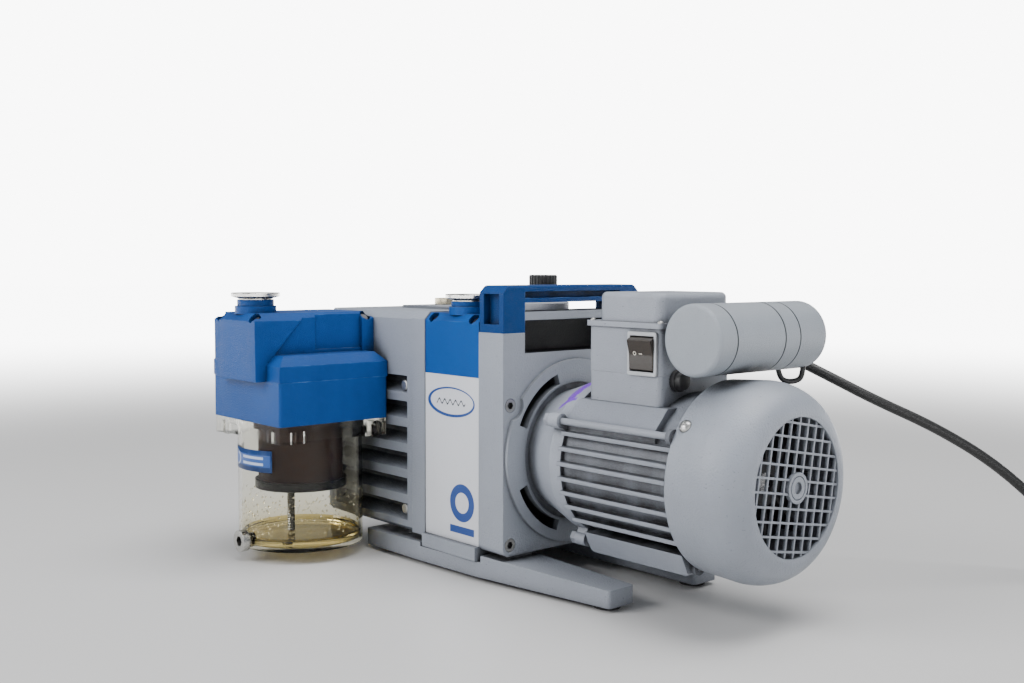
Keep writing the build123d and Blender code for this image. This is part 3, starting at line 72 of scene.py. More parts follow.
cord_radius = 0.004
gland_low, gland_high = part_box("cable_gland")
coil_low, coil_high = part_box("cable_coil")
plug_low, plug_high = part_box("plug")
gland_tip = Vector(((gland_low[0] + gland_high[0]) / 2, gland_high[1], (gland_low[2] + gland_high[2]) / 2))
cord_steps = [
    (0.0, 0.0, 0.0), (0.0, 0.030, 0.0), (0.017, 0.056, -0.010), (0.046, 0.072, -0.026),
    (0.074, 0.092, -0.0435), (0.106, 0.128, -0.065), (0.137, 0.166, -0.094), (0.166, 0.199, -0.133),
    (0.195, 0.229, -0.168), (0.229, 0.252, -0.1815),
]
cord_points = [gland_tip + Vector(step) for step in cord_steps]
coil_centre = Vector(((coil_low[0] + coil_high[0]) / 2, (coil_low[1] + coil_high[1]) / 2, 0.0))
turn_outer = (coil_high[0] - coil_low[0]) / 2 - cord_radius
turn_inner = turn_outer - 2 * cord_radius
layer = 2 * cord_radius
turn_places = [(turn_outer, 0), (turn_inner, 0), (turn_inner, 1), (turn_outer, 1), (turn_inner, 2), (turn_outer, 2)]
points_per_turn = 16
coil_turns = 5.2
shift_start = 0.72
bench_gap = 0.0003
polygon_gain = 1.0 / (0.5 + 0.5 * math.cos(math.pi / points_per_turn) ** 2)
for step in range(int(coil_turns * points_per_turn)):
    turn = step // points_per_turn
    part = (step % points_per_turn) / points_per_turn
    shift = min(max((part - shift_start) / (1 - shift_start), 0.0), 1.0)
    shift = shift * shift * (3 - 2 * shift)
    radius_now, layer_now = turn_places[turn]
    radius_next, layer_next = turn_places[min(turn + 1, 5)]
    radius_here = radius_now + (radius_next - radius_now) * shift
    height = cord_radius + bench_gap + layer * (layer_now + (layer_next - layer_now) * shift)
    angle = math.pi / 2 - 2 * math.pi * step / points_per_turn
    cord_points.append(coil_centre + Vector((math.cos(angle) * radius_here * polygon_gain,
                                             math.sin(angle) * radius_here * polygon_gain, height)))
plug_mouth = Vector(((plug_low[0] + plug_high[0]) / 2, plug_high[1], (plug_low[2] + plug_high[2]) / 2))
cord_points.append(plug_mouth + Vector((0.003, 0.024, 0.010)))
cord_points.append(plug_mouth + Vector((0.0, 0.008, 0.001)))
cord_points.append(plug_mouth)
cord_curve = bpy.data.curves.new("mains_cord", "CURVE")
cord_curve.dimensions = "3D"
cord_curve.bevel_depth = 1.0
cord_curve.bevel_resolution = 5
cord_curve.resolution_u = 6
cord_curve.use_fill_caps = True
spline = cord_curve.splines.new("NURBS")
spline.points.add(len(cord_points) - 1)
for point, place in zip(spline.points, cord_points):
    point.co = (*place, 1.0)
    point.radius = cord_radius
spline.order_u = 3
spline.use_endpoint_u = True
mains_cord = bpy.data.objects.new("mains_cord", cord_curve)
bpy.context.scene.collection.objects.link(mains_cord)
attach(mains_cord, "root")
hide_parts("mains_cable", "cable_coil")

# ---- Floor and lights ---------------------------------------------------------------------
# A pale matt floor under a white surround, a broad soft key from the left above the
# louvred side, a soft light over the top and a weak one towards the fan cowl.

floor_mesh = bpy.data.meshes.new("floor")
floor_half = 14.0
floor_mesh.from_pydata([(-floor_half, -floor_half, 0), (floor_half, -floor_half, 0),
                        (floor_half, floor_half, 0), (-floor_half, floor_half, 0)], [], [(0, 1, 2, 3)])
floor = bpy.data.objects.new("floor", floor_mesh)
bpy.context.scene.collection.objects.link(floor)


def join(tree, value, socket):
    """Put a number, a colour, a material or another socket into a socket."""
    if isinstance(value, bpy.types.NodeSocket):
        tree.links.new(value, socket)
    else:
        socket.default_value = value


def made(tree, kind, inputs=None, **settings):
    """One node with its settings, and its inputs fed by values or other sockets."""
    node = tree.nodes.new(kind)
    for label, value in settings.items():
        setattr(node, label, value)
    for label, value in (inputs or {}).items():
        join(tree, value, node.inputs[label])
    return node


def plain_material(name, base_color, roughness=0.5, metallic=0.0):
    """A Principled material of one colour, which a finish can build on."""
    material = bpy.data.materials.new(name)
    material.use_nodes = True
    shader = material.node_tree.nodes["Principled BSDF"]
    shader.inputs["Base Color"].default_value = (*base_color, 1.0)
    shader.inputs["Roughness"].default_value = roughness
    shader.inputs["Metallic"].default_value = metallic
    return material


pale_floor = plain_material("pale_floor", (0.60, 0.595, 0.59), 0.40)
tree = pale_floor.node_tree
place = made(tree, "ShaderNodeTexCoord")
reach = made(tree, "ShaderNodeVectorMath", {0: place.outputs["Object"]}, operation="LENGTH")
fade = made(tree, "ShaderNodeMapRange", {"Value": reach.outputs["Value"], "From Min": 0.7, "From Max": 3.6,
                                         "To Max": 8.5}, interpolation_type="SMOOTHERSTEP")
shader = tree.nodes["Principled BSDF"]
shader.inputs["Emission Color"].default_value = (1.0, 1.0, 1.0, 1.0)
join(tree, fade.outputs["Result"], shader.inputs["Emission Strength"])
floor_mesh.materials.append(pale_floor)

surround = bpy.data.worlds.new("surround")
surround.use_nodes = True
surround_tree = surround.node_tree
backlight = surround_tree.nodes["Background"]
backlight.inputs["Color"].default_value = (0.93, 0.96, 1.0, 1.0)
backlight.inputs["Strength"].default_value = 0.40
seen = made(surround_tree, "ShaderNodeBackground", {"Color": (1.0, 1.0, 1.0, 1.0), "Strength": 9.0})
paths = made(surround_tree, "ShaderNodeLightPath")
choose = made(surround_tree, "ShaderNodeMixShader", {"Fac": paths.outputs["Is Camera Ray"],
                                                     1: backlight.outputs["Background"],
                                                     2: seen.outputs["Background"]})
join(surround_tree, choose.outputs["Shader"], surround_tree.nodes["World Output"].inputs["Surface"])
bpy.context.scene.world = surround


def soft_light(name, place, target, size, power):
    """A rectangular softbox aimed at a point."""
    data = bpy.data.lights.new(name, "AREA")
    data.shape = "RECTANGLE"
    data.size, data.size_y = size
    data.energy = power
    lamp = bpy.data.objects.new(name, data)
    lamp.location = place
    lamp.rotation_euler = (Vector(target) - Vector(place)).to_track_quat("-Z", "Y").to_euler()
    bpy.context.scene.collection.objects.link(lamp)


soft_light("key_light", (-0.9, -2.3, 1.5), (0, 0, 0.1), (1.6, 1.2), 66)
soft_light("top_light", (0.5, 0.3, 2.3), (0.05, 0, 0.1), (1.6, 1.6), 66)
soft_light("motor_light", (2.4, -0.3, 1.1), (0.1, 0, 0.1), (1.0, 1.2), 9)

# ---- Bell housing -------------------------------------------------------------------------
# Cast aluminium plate with the motor register, four arc-shaped air slots and a window to the
# coupling. Grey stove enamel outside; behind the slots and the window the colour is near-black, as painted shade.

socket_kinds = {tuple: "NodeSocketColor", float: "NodeSocketFloat", int: "NodeSocketInt",
                type(None): "NodeSocketGeometry"}


def node_group(name, inputs, outputs, kind="ShaderNodeTree"):
    """An empty node group with its named inputs and outputs."""
    tree = bpy.data.node_groups.new(name, kind)
    for label, value in inputs.items():
        socket = tree.interface.new_socket(name=label, in_out="INPUT", socket_type=socket_kinds[type(value)])
        if value is not None:
            socket.default_value = value
    for label, socket_type in outputs.items():
        tree.interface.new_socket(name=label, in_out="OUTPUT", socket_type=socket_type)
    return tree, tree.nodes.new("NodeGroupInput").outputs, tree.nodes.new("NodeGroupOutput").inputs


def work(tree, operation, first, second=0.0, clamp=False):
    """One Math node."""
    return made(tree, "ShaderNodeMath", {0: first, 1: second}, operation=operation, use_clamp=clamp).outputs[0]


def times(tree, first, second, clamp=False):
    """The product of two masks."""
    return work(tree, "MULTIPLY", first, second, clamp)


def apart(tree, first, second):
    """How far two values are apart."""
    return work(tree, "ABSOLUTE", work(tree, "SUBTRACT", first, second))


def ramp(tree, value, low, high, start=0.0, end=1.0):
    """Smoothly carry a value from one range to another, held at both ends."""
    ranges = {"Value": value, "From Min": low, "From Max": high, "To Min": start, "To Max": end}
    return made(tree, "ShaderNodeMapRange", ranges, interpolation_type="SMOOTHSTEP").outputs["Result"]


def grain(tree, scale, detail=2.0, stretch=(1, 1, 1), rough=0.55):
    """Noise over the piece, stretched along an axis where the finish has a direction."""
    place = made(tree, "ShaderNodeTexCoord")
    mapping = made(tree, "ShaderNodeMapping", {"Vector": place.outputs["Object"], "Scale": stretch})
    return made(tree, "ShaderNodeTexNoise", {"Vector": mapping.outputs["Vector"], "Scale": scale, "Detail": detail,
                                             "Roughness": rough}).outputs["Fac"]


def tint(tree, factor, first, second, blend="MIX"):
    """Blend two colours by a mask."""
    return made(tree, "ShaderNodeMix", {0: factor, 6: first, 7: second}, data_type="RGBA", blend_type=blend,
                clamp_factor=True).outputs[2]


def grey(tree, value):
    """The same number in all three colour channels."""
    return made(tree, "ShaderNodeCombineColor", {0: value, 1: value, 2: value}).outputs["Color"]


def whereabouts(tree):
    """The x, y and z of the surface, in metres."""
    place = made(tree, "ShaderNodeTexCoord")
    return made(tree, "ShaderNodeSeparateXYZ", {0: place.outputs["Object"]}).outputs


finish_outputs = {"Colour": "NodeSocketColor", "Roughness": "NodeSocketFloat", "Height": "NodeSocketFloat",
                  "Normal": "NodeSocketVector"}
coat, given, result = node_group("worn_coat", {
    "Colour": (0.5, 0.5, 0.5, 1.0), "Edge Colour": (0.7, 0.7, 0.7, 1.0), "Grime Colour": (0.02, 0.02, 0.022, 1.0),
    "Edge Wear": 0.2, "Edge Radius": 0.001, "Mottle": 0.08, "Specks": 0.3, "Grime": 0.6, "Dust": 0.15,
    "Peel Scale": 900.0, "Peel Depth": 0.6, "Roughness": 0.45}, finish_outputs)
patches = grain(coat, 13.0, 4.0)
smears = grain(coat, 55.0, 4.0, (1.0, 1.0, 0.22), 0.62)
pepper = grain(coat, 620.0, 1.0)
peel = grain(coat, given["Peel Scale"], 3.0)
rounded = made(coat, "ShaderNodeBevel", {"Radius": given["Edge Radius"]}, samples=4)
shape = made(coat, "ShaderNodeNewGeometry")
facing = made(coat, "ShaderNodeVectorMath", {0: rounded.outputs["Normal"], 1: shape.outputs["True Normal"]},
              operation="DOT_PRODUCT")
# Wear and painted highlight: edges found from the bevel normal are lightened towards the edge colour.
edges = ramp(coat, facing.outputs["Value"], 0.985, 0.90)
worn_and_highlit = times(coat, edges, ramp(coat, smears, 0.46, 0.66))
worn_and_highlit = times(coat, worn_and_highlit, given["Edge Wear"])
# Grime and painted shade: corners, creases and recesses found by ambient occlusion are darkened towards the grime
# colour.
hidden = made(coat, "ShaderNodeAmbientOcclusion", {"Distance": 0.016}, samples=6)
corners = ramp(coat, hidden.outputs["AO"], 0.92, 0.25)
corners = times(coat, corners, ramp(coat, smears, 0.15, 0.75, 0.55, 1.15))
corners = times(coat, corners, given["Grime"], True)
upward = made(coat, "ShaderNodeSeparateXYZ", {0: shape.outputs["Normal"]})
settled = times(coat, ramp(coat, upward.outputs["Z"], 0.6, 0.95),
               ramp(coat, patches, 0.3, 0.7, 0.4, 1.0))
settled = times(coat, settled, given["Dust"])
drift = times(coat, work(coat, "SUBTRACT", patches, 0.5), given["Mottle"])
drift = work(coat, "ADD", drift, times(coat, work(coat, "SUBTRACT", smears, 0.5),
                                      times(coat, given["Mottle"], 0.8)))
drift = work(coat, "ADD", drift, 1.0)
dots = times(coat, ramp(coat, pepper, 0.70, 0.76), given["Specks"])
shade = tint(coat, 1.0, given["Colour"], grey(coat, drift), "MULTIPLY")
shade = tint(coat, dots, shade, given["Grime Colour"])
shade = tint(coat, worn_and_highlit, shade, given["Edge Colour"])
shade = tint(coat, settled, shade, (0.62, 0.62, 0.60, 1.0))
# Painted shade and grime laid over the colour in the corners.
shade = tint(coat, corners, shade, given["Grime Colour"])
join(coat, shade, result["Colour"])
gloss = work(coat, "ADD", given["Roughness"], times(coat, work(coat, "SUBTRACT", smears, 0.5), 0.22))
gloss = work(coat, "ADD", gloss, times(coat, settled, 0.5), True)
join(coat, gloss, result["Roughness"])
join(coat, times(coat, peel, given["Peel Depth"]), result["Height"])
join(coat, rounded.outputs["Normal"], result["Normal"])


def fed(material, group, values, strength, depth):
    """Feed a shader's colour, gloss and relief from a finish group."""
    tree = material.node_tree
    surface = made(tree, "ShaderNodeGroup", node_tree=group)
    for label, value in values.items():
        surface.inputs[label.replace("_", " ").title()].default_value = value
    relief = made(tree, "ShaderNodeBump", {"Strength": strength, "Distance": depth,
                                           "Height": surface.outputs["Height"],
                                           "Normal": surface.outputs["Normal"]})
    shader = tree.nodes["Principled BSDF"]
    join(tree, surface.outputs["Colour"], shader.inputs["Base Color"])
    join(tree, surface.outputs["Roughness"], shader.inputs["Roughness"])
    join(tree, relief.outputs["Normal"], shader.inputs["Normal"])
    return material


def coated(name, colour, specular=0.5, **values):
    """A painted or moulded finish from the worn_coat group."""
    material = plain_material(name, colour)
    material.node_tree.nodes["Principled BSDF"].inputs["Specular IOR Level"].default_value = specular
    return fed(material, coat, dict(values, colour=(*colour, 1.0)), 0.6, 0.00035)


def over(material, mask, colour, roughness=None):
    """Lay a second colour over a coated material where the mask says."""
    tree = material.node_tree
    shader = tree.nodes["Principled BSDF"]
    under = shader.inputs["Base Color"].links[0].from_socket
    join(tree, tint(tree, mask, under, (*colour, 1.0)), shader.inputs["Base Color"])
    if roughness is not None:
        was = shader.inputs["Roughness"].links[0].from_socket
        blend = made(tree, "ShaderNodeMix", {0: mask, 2: was, 3: roughness})
        join(tree, blend.outputs[0], shader.inputs["Roughness"])


def finish(material, *names):
    """Give CAD pieces their material."""
    for name in names:
        nodes[name].data.materials.clear()
        nodes[name].data.materials.append(material)


enamel = (0.262, 0.285, 0.330)
cast_grey = dict(edge_colour=(0.45, 0.47, 0.50, 1.0), edge_wear=0.55, edge_radius=0.0012, mottle=0.20, specks=0.18,
                 grime=0.9, dust=0.06, peel_scale=720.0, peel_depth=2.6, roughness=0.45)
bell_paint = coated("bell_housing_enamel", enamel, **cast_grey)
bell_low, bell_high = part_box("bell_housing")
shaft_y = (bell_low[1] + bell_high[1]) / 2
shaft_z = 0.100
face_x = bell_high[0] - 0.003
tree = bell_paint.node_tree
x, y, z = whereabouts(tree)
across = work(tree, "SUBTRACT", y, shaft_y)
above = work(tree, "SUBTRACT", z, shaft_z)
from_shaft = work(tree, "SQRT", work(tree, "ADD", times(tree, across, across),
                                     times(tree, above, above)))
slot_reach = 0.0680
window_half, window_foot, window_top = 0.0536, 0.1795, 0.2058
in_slots = ramp(tree, from_shaft, slot_reach, slot_reach - 0.0015)
in_window = times(tree, ramp(tree, work(tree, "ABSOLUTE", across), window_half, window_half - 0.0004),
                  times(tree, ramp(tree, z, window_foot, window_foot + 0.0005),
                        ramp(tree, z, window_top, window_top - 0.0002)))
# Painted shade: behind the face, the air slots and the window are coloured near-black.
inside = work(tree, "MAXIMUM", in_slots, in_window)
inside = times(tree, inside, ramp(tree, x, face_x - 0.0006, face_x - 0.0040))
over(bell_paint, inside, (0.006, 0.0065, 0.008), 0.6)
finish(bell_paint, "bell_housing")

metal, given, result = node_group("worked_metal", {
    "Colour": (0.6, 0.6, 0.6, 1.0), "Stain": 0.25, "Scratch Scale": 900.0, "Scratch Depth": 0.5,
    "Edge Radius": 0.0004, "Grime": 0.6, "Roughness": 0.3}, finish_outputs)
blotches = grain(metal, 70.0, 4.0)
marks = grain(metal, given["Scratch Scale"], 3.0, (1.0, 0.12, 1.0))
rounded = made(metal, "ShaderNodeBevel", {"Radius": given["Edge Radius"]}, samples=4)
# Grime and painted shade: corners and recesses found by ambient occlusion are darkened towards near-black.
hidden = made(metal, "ShaderNodeAmbientOcclusion", {"Distance": 0.006}, samples=6)
corners = times(metal, ramp(metal, hidden.outputs["AO"], 0.9, 0.3), given["Grime"])
shade = tint(metal, times(metal, ramp(metal, blotches, 0.35, 0.75), given["Stain"]), given["Colour"],
             (0.26, 0.25, 0.23, 1.0))
shade = tint(metal, corners, shade, (0.03, 0.03, 0.03, 1.0))
join(metal, shade, result["Colour"])
gloss = work(metal, "ADD", given["Roughness"], times(metal, work(metal, "SUBTRACT", marks, 0.5), 0.3))
gloss = work(metal, "ADD", gloss, times(metal, ramp(metal, blotches, 0.4, 0.8), 0.12), True)
join(metal, gloss, result["Roughness"])
join(metal, times(metal, marks, given["Scratch Depth"]), result["Height"])
join(metal, rounded.outputs["Normal"], result["Normal"])


def machined(name, colour, roughness=0.3, **values):
    """A bare or plated metal finish from the worked_metal group."""
    material = plain_material(name, colour, roughness, 1.0)
    return fed(material, metal, dict(values, colour=(*colour, 1.0), roughness=roughness), 0.4, 0.0001)


finish(machined("zinc_plated_screw", (0.46, 0.46, 0.45), 0.34, stain=0.5, grime=0.9), "bell_housing_screws")

# ---- Carry handle -------------------------------------------------------------------------
# Blue glass-filled moulding with a ribbed hollow under the grip, set on the bell housing's
# two shoulders. Its edges are painted paler, partly as wear and partly as painted highlight.

blue_finish = dict(specular=0.16, edge_colour=(0.07, 0.19, 0.50, 1.0), grime_colour=(0.002, 0.006, 0.016, 1.0),
                   edge_wear=0.95, edge_radius=0.0010, mottle=0.30, specks=0.10, grime=0.85, dust=0.02,
                   peel_scale=1100.0, peel_depth=2.2, roughness=0.42)
finish(coated("handle_moulding", (0.0012, 0.036, 0.150), **blue_finish), "handle")

# ---- Foot rails and feet ------------------------------------------------------------------
# Two tapered aluminium castings in the same grey enamel, their edges painted paler as scuffs
# and painted highlight, on four thin black rubber pads.

rail_finish = dict(cast_grey, edge_wear=0.5, grime=0.9, mottle=0.16, specks=0.4)
finish(coated("foot_rail_enamel", (0.250, 0.270, 0.312), **rail_finish), "foot_rails")
rubber_finish = dict(edge_colour=(0.06, 0.06, 0.06, 1.0), edge_wear=0.4, mottle=0.3, specks=0.3, dust=0.2,
                     peel_scale=1500.0, roughness=0.75)
finish(coated("foot_rubber", (0.014, 0.014, 0.015), **rubber_finish), "rubber_feet")

# ---- Pump module --------------------------------------------------------------------------
# Grey cast housing round the two pumping stages. Its side carries a white plastic panel
# printed with plain blue marks: an oval outline near the top and an open ring at the foot.

finish(coated("pump_housing_enamel", enamel, **cast_grey), "pump_housing")
panel_low, panel_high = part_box("label_panel")
panel_white = coated("panel_laminate", (0.60, 0.615, 0.655), edge_colour=(0.8, 0.8, 0.8, 1.0), edge_wear=0.1,
                     edge_radius=0.0006, mottle=0.05, specks=0.12, grime=0.5, dust=0.0, peel_scale=1600.0,
                     peel_depth=0.3, roughness=0.34)
tree = panel_white.node_tree
x, y, z = whereabouts(tree)
mid_x = (panel_low[0] + panel_high[0]) / 2


def oval(tree, x, z, centre, half):
    """Distance from an oval's centre, 1 on its outline."""
    dx = work(tree, "DIVIDE", work(tree, "SUBTRACT", x, centre[0]), half[0])
    dz = work(tree, "DIVIDE", work(tree, "SUBTRACT", z, centre[1]), half[1])
    return work(tree, "SQRT", work(tree, "ADD", times(tree, dx, dx), times(tree, dz, dz)))


badge = (mid_x - 0.0006, 0.1383)
outer = ramp(tree, oval(tree, x, z, badge, (0.0300, 0.0121)), 1.01, 0.99)
inner = ramp(tree, oval(tree, x, z, (badge[0] + 0.0009, badge[1] + 0.0005), (0.0272, 0.0103)), 0.99, 1.01)
print_mask = times(tree, outer, inner)
wave = times(tree, work(tree, "SINE", times(tree, x, 900.0)), 0.0018)
line = apart(tree, work(tree, "SUBTRACT", z, badge[1]), wave)
line = times(tree, ramp(tree, line, 0.0009, 0.0006),
            ramp(tree, apart(tree, x, badge[0]), 0.0185, 0.0180))
mark = (mid_x + 0.0135, 0.0585)
ring = oval(tree, x, z, mark, (0.0152, 0.0152))
ring = times(tree, ramp(tree, ring, 1.01, 0.99), ramp(tree, ring, 0.54, 0.56))
bar = times(tree, ramp(tree, apart(tree, x, mark[0]), 0.0153, 0.0150),
           ramp(tree, apart(tree, z, 0.0365), 0.0031, 0.0028))
print_mask = work(tree, "MAXIMUM", print_mask, work(tree, "MAXIMUM", ring, bar))
rub = ramp(tree, grain(tree, 700.0, 3.0), 0.24, 0.34, 0.7, 1.0)
over(panel_white, times(tree, print_mask, rub), (0.010, 0.050, 0.235))
over(panel_white, line, (0.035, 0.04, 0.055))
finish(panel_white, "label_panel")

# ---- Inlet head and ports -----------------------------------------------------------------
# The inlet head is a blue moulding like the handle. Both ports are nickel-plated small
# flanges turned on a lathe; the inlet holds a fine dirt screen.

finish(coated("inlet_head_moulding", (0.0013, 0.062, 0.270), **blue_finish), "inlet_head")
finish(machined("nickel_plate", (0.66, 0.65, 0.62), 0.24, scratch_scale=1500.0, stain=0.25), "port_flanges")
finish(machined("screen_wire", (0.45, 0.45, 0.44), 0.4), "inlet_screen")

# ---- Gas ballast valve ---------------------------------------------------------------------
# A grey cast disc with a black fluted knob that turns half a turn to open the valve.

finish(coated("ballast_disc_enamel", (0.37, 0.385, 0.42), **cast_grey), "gas_ballast_cover")
black_finish = dict(edge_colour=(0.10, 0.10, 0.105, 1.0), edge_wear=0.4, edge_radius=0.0005, mottle=0.25, specks=0.2,
                    grime=0.8, dust=0.12, peel_scale=1700.0, roughness=0.48)
finish(coated("knob_moulding", (0.013, 0.013, 0.014), **black_finish), "gas_ballast_knob")

# ---- Oil case -----------------------------------------------------------------------------
# Deep grey casting with six cooling louvres a side, held by long screws whose heads show in
# the top and bottom louvres. The back and top of each slot are painted darker, as painted shade.

case_paint = coated("oil_case_enamel", (0.240, 0.264, 0.312), **dict(cast_grey, mottle=0.14, grime=0.85))
tree = case_paint.node_tree
x, y, z = whereabouts(tree)
body_half = 0.075
louvre_top = 0.155
louvre_pitch = 0.0217
sunk = work(tree, "SUBTRACT", body_half, apart(tree, y, shaft_y))
down = work(tree, "SUBTRACT", louvre_top + louvre_pitch, z)
row = work(tree, "FRACT", work(tree, "DIVIDE", down, louvre_pitch))
# Painted shade: the colour darkens deeper into each louvre and towards its top, with a little noise.
slot_shade = times(tree, ramp(tree, sunk, 0.0008, 0.0130, 0.0, 0.95),
                  ramp(tree, z, louvre_top + 0.0005, louvre_top - 0.0002))
slot_shade = times(tree, slot_shade, ramp(tree, row, 0.60, 0.15, 0.55, 1.0))
slot_shade = times(tree, slot_shade, ramp(tree, grain(tree, 90.0, 3.0), 0.2, 0.7, 0.8, 1.0))
over(case_paint, slot_shade, (0.012, 0.014, 0.018), 0.6)
finish(case_paint, "oil_case")
finish(machined("case_screw_zinc", (0.50, 0.50, 0.50), 0.4, stain=0.6), "oil_case_screws")
finish(machined("drain_plug_brass", (0.56, 0.50, 0.36), 0.3, stain=0.4), "oil_plugs")

# ---- Oil sight glass ----------------------------------------------------------------------
# Clear cast window on the far side for the oil level, with oil film behind it.


def see_through(name, colour, roughness, weight, bend):
    """A clear material, with its tree and shader for the looks that follow."""
    material = plain_material(name, colour, roughness)
    shader = material.node_tree.nodes["Principled BSDF"]
    shader.inputs["Transmission Weight"].default_value = weight
    shader.inputs["IOR"].default_value = bend
    return material, material.node_tree, shader


sight, tree, shader = see_through("sight_window", (0.86, 0.74, 0.42), 0.06, 0.85, 1.49)
z = whereabouts(tree)["Z"]
level_line = ramp(tree, work(tree, "ADD", z, times(tree, grain(tree, 60.0), 0.001)), 0.0935, 0.0925)
join(tree, tint(tree, level_line, (0.93, 0.92, 0.84, 1.0), (0.62, 0.36, 0.06, 1.0)), shader.inputs["Base Color"])
join(tree, ramp(tree, grain(tree, 140.0, 3.0), 0.3, 0.8, 0.03, 0.22), shader.inputs["Roughness"])
finish(sight, "sight_glass")

# ---- Pumping stages -----------------------------------------------------------------------
# Two cast-iron stages with steel rotors and resin vanes on one ground shaft, all wet with
# oil. They sit inside the oil case.

finish(machined("ground_cast_iron", (0.30, 0.30, 0.31), 0.36, stain=0.6), "hv_stator", "lv_stator", "middle_plate",
       "rear_plate")
ground_steel = machined("ground_steel", (0.56, 0.56, 0.57), 0.22, scratch_scale=1400.0)
finish(ground_steel, "pump_shaft", "rotors", "exhaust_valve", "motor_shaft", "motor_bearings")
finish(coated("vane_laminate", (0.085, 0.045, 0.020), edge_colour=(0.2, 0.12, 0.06, 1.0), mottle=0.4,
              peel_scale=600.0, roughness=0.5), "vanes")
finish(coated("seal_rubber", (0.016, 0.016, 0.017), **rubber_finish), "shaft_seal")

# ---- Jaw coupling -------------------------------------------------------------------------
# Two cast aluminium hubs with three jaws each and an orange-red rubber spider between them.

finish(machined("coupling_aluminium", (0.52, 0.53, 0.54), 0.42, stain=0.4), "pump_coupling_hub", "motor_coupling_hub")
finish(coated("spider_rubber", (0.42, 0.055, 0.02), **dict(rubber_finish, edge_colour=(0.5, 0.1, 0.05, 1.0))),
       "coupling_spider")

# ---- Motor --------------------------------------------------------------------------------
# Finned aluminium frame between two cast shields, clamped by four painted tie rods. The
# front shield has a daub of purple marking paint brushed on beside the terminal box.

motor_finish = dict(cast_grey, mottle=0.20, specks=0.2, roughness=0.40, edge_wear=0.4, grime=1.0)
frame_paint = coated("motor_frame_enamel", (0.235, 0.255, 0.298), **motor_finish)
finish(frame_paint, "motor_frame")
# Painted shade: the rear shield behind the fan gets a much darker copy of the grey enamel.
rear_paint = coated("rear_shield_enamel", (0.110, 0.120, 0.140), **dict(motor_finish, roughness=0.6, edge_wear=0.1))
finish(rear_paint, "rear_shield")
shield_paint = coated("front_shield_enamel", (0.285, 0.308, 0.356), **motor_finish)
tree = shield_paint.node_tree
x, y, z = whereabouts(tree)
turn_angle = work(tree, "ARCTAN2", work(tree, "SUBTRACT", z, shaft_z), work(tree, "SUBTRACT", y, shaft_y))
along = work(tree, "DIVIDE", work(tree, "SUBTRACT", turn_angle, math.radians(99.0)), math.radians(40.0))
track = ramp(tree, along, 1.0, 0.72, face_x + 0.0258, face_x + 0.0345)
brush_noise = times(tree, work(tree, "SUBTRACT", grain(tree, 260.0, 4.0, (1.0, 0.3, 0.3)), 0.5), 0.009)
off_track = work(tree, "ABSOLUTE", work(tree, "ADD", work(tree, "SUBTRACT", x, track), brush_noise))
width = ramp(tree, along, 1.0, 0.75, 0.0006, 0.0048)
daub = times(tree, ramp(tree, work(tree, "SUBTRACT", off_track, width), 0.0004, 0.0),
            times(tree, ramp(tree, along, 0.02, 0.06), ramp(tree, along, 1.0, 0.94)))
over(shield_paint, times(tree, daub, ramp(tree, grain(tree, 900.0, 2.0), 0.30, 0.42, 0.45, 1.0)),
     (0.17, 0.040, 0.50), 0.35)
finish(shield_paint, "front_shield")
finish(coated("tie_rod_paint", (0.245, 0.262, 0.300), **dict(motor_finish, edge_wear=0.9, grime=0.9)), "tie_rods")


def ribbed(material, height, depth=0.0001, strength=0.4):
    """Give a machined material's relief another pattern."""
    tree = material.node_tree
    relief = next(node for node in tree.nodes if node.type == "BUMP")
    relief.inputs["Distance"].default_value = depth
    relief.inputs["Strength"].default_value = strength
    join(tree, height, relief.inputs["Height"])


sheet_steel = machined("lamination_steel", (0.33, 0.33, 0.34), 0.4, stain=0.5)
tree = sheet_steel.node_tree
x = whereabouts(tree)["X"]
ribbed(sheet_steel, times(tree, work(tree, "PINGPONG", x, 0.0005), 1200.0))
finish(sheet_steel, "stator_core", "rotor_core")
winding = machined("enamelled_copper", (0.62, 0.23, 0.09), 0.32, stain=0.4)
tree = winding.node_tree
x = whereabouts(tree)["X"]
wire = work(tree, "PINGPONG", work(tree, "ADD", x, times(tree, grain(tree, 40.0), 0.004)), 0.0006)
ribbed(winding, times(tree, wire, 1500.0), 0.0004)
finish(winding, "windings")

# ---- Fan and cowl -------------------------------------------------------------------------
# Black fan moulding on the motor's tail behind a pressed cowl with a square-holed grille,
# held by three domed cross-recess screws.

finish(coated("fan_moulding", (0.012, 0.013, 0.014), **dict(black_finish, dust=0.05, specks=0.0)), "motor_fan")
cowl_finish = dict(motor_finish, roughness=0.36, grime=0.7, specks=0.3)
finish(coated("cowl_enamel", (0.255, 0.278, 0.322), **cowl_finish), "fan_cowl")


def new_piece(name, mesh_data, body, slot_name, *materials):
    """A visual piece at the origin that rides on a CAD body."""
    piece = bpy.data.objects.new(name, mesh_data)
    bpy.context.scene.collection.objects.link(piece)
    for material in materials:
        piece.data.materials.append(material)
    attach(piece, body)
    return piece


def dressed(tree, instances, material, grown_out):
    """End a Geometry Nodes tree: real meshes in their material."""
    real = made(tree, "GeometryNodeRealizeInstances", {"Geometry": instances.outputs["Instances"]})
    ended = made(tree, "GeometryNodeSetMaterial", {"Geometry": real.outputs["Geometry"], "Material": material})
    join(tree, ended.outputs["Geometry"], grown_out["Geometry"])


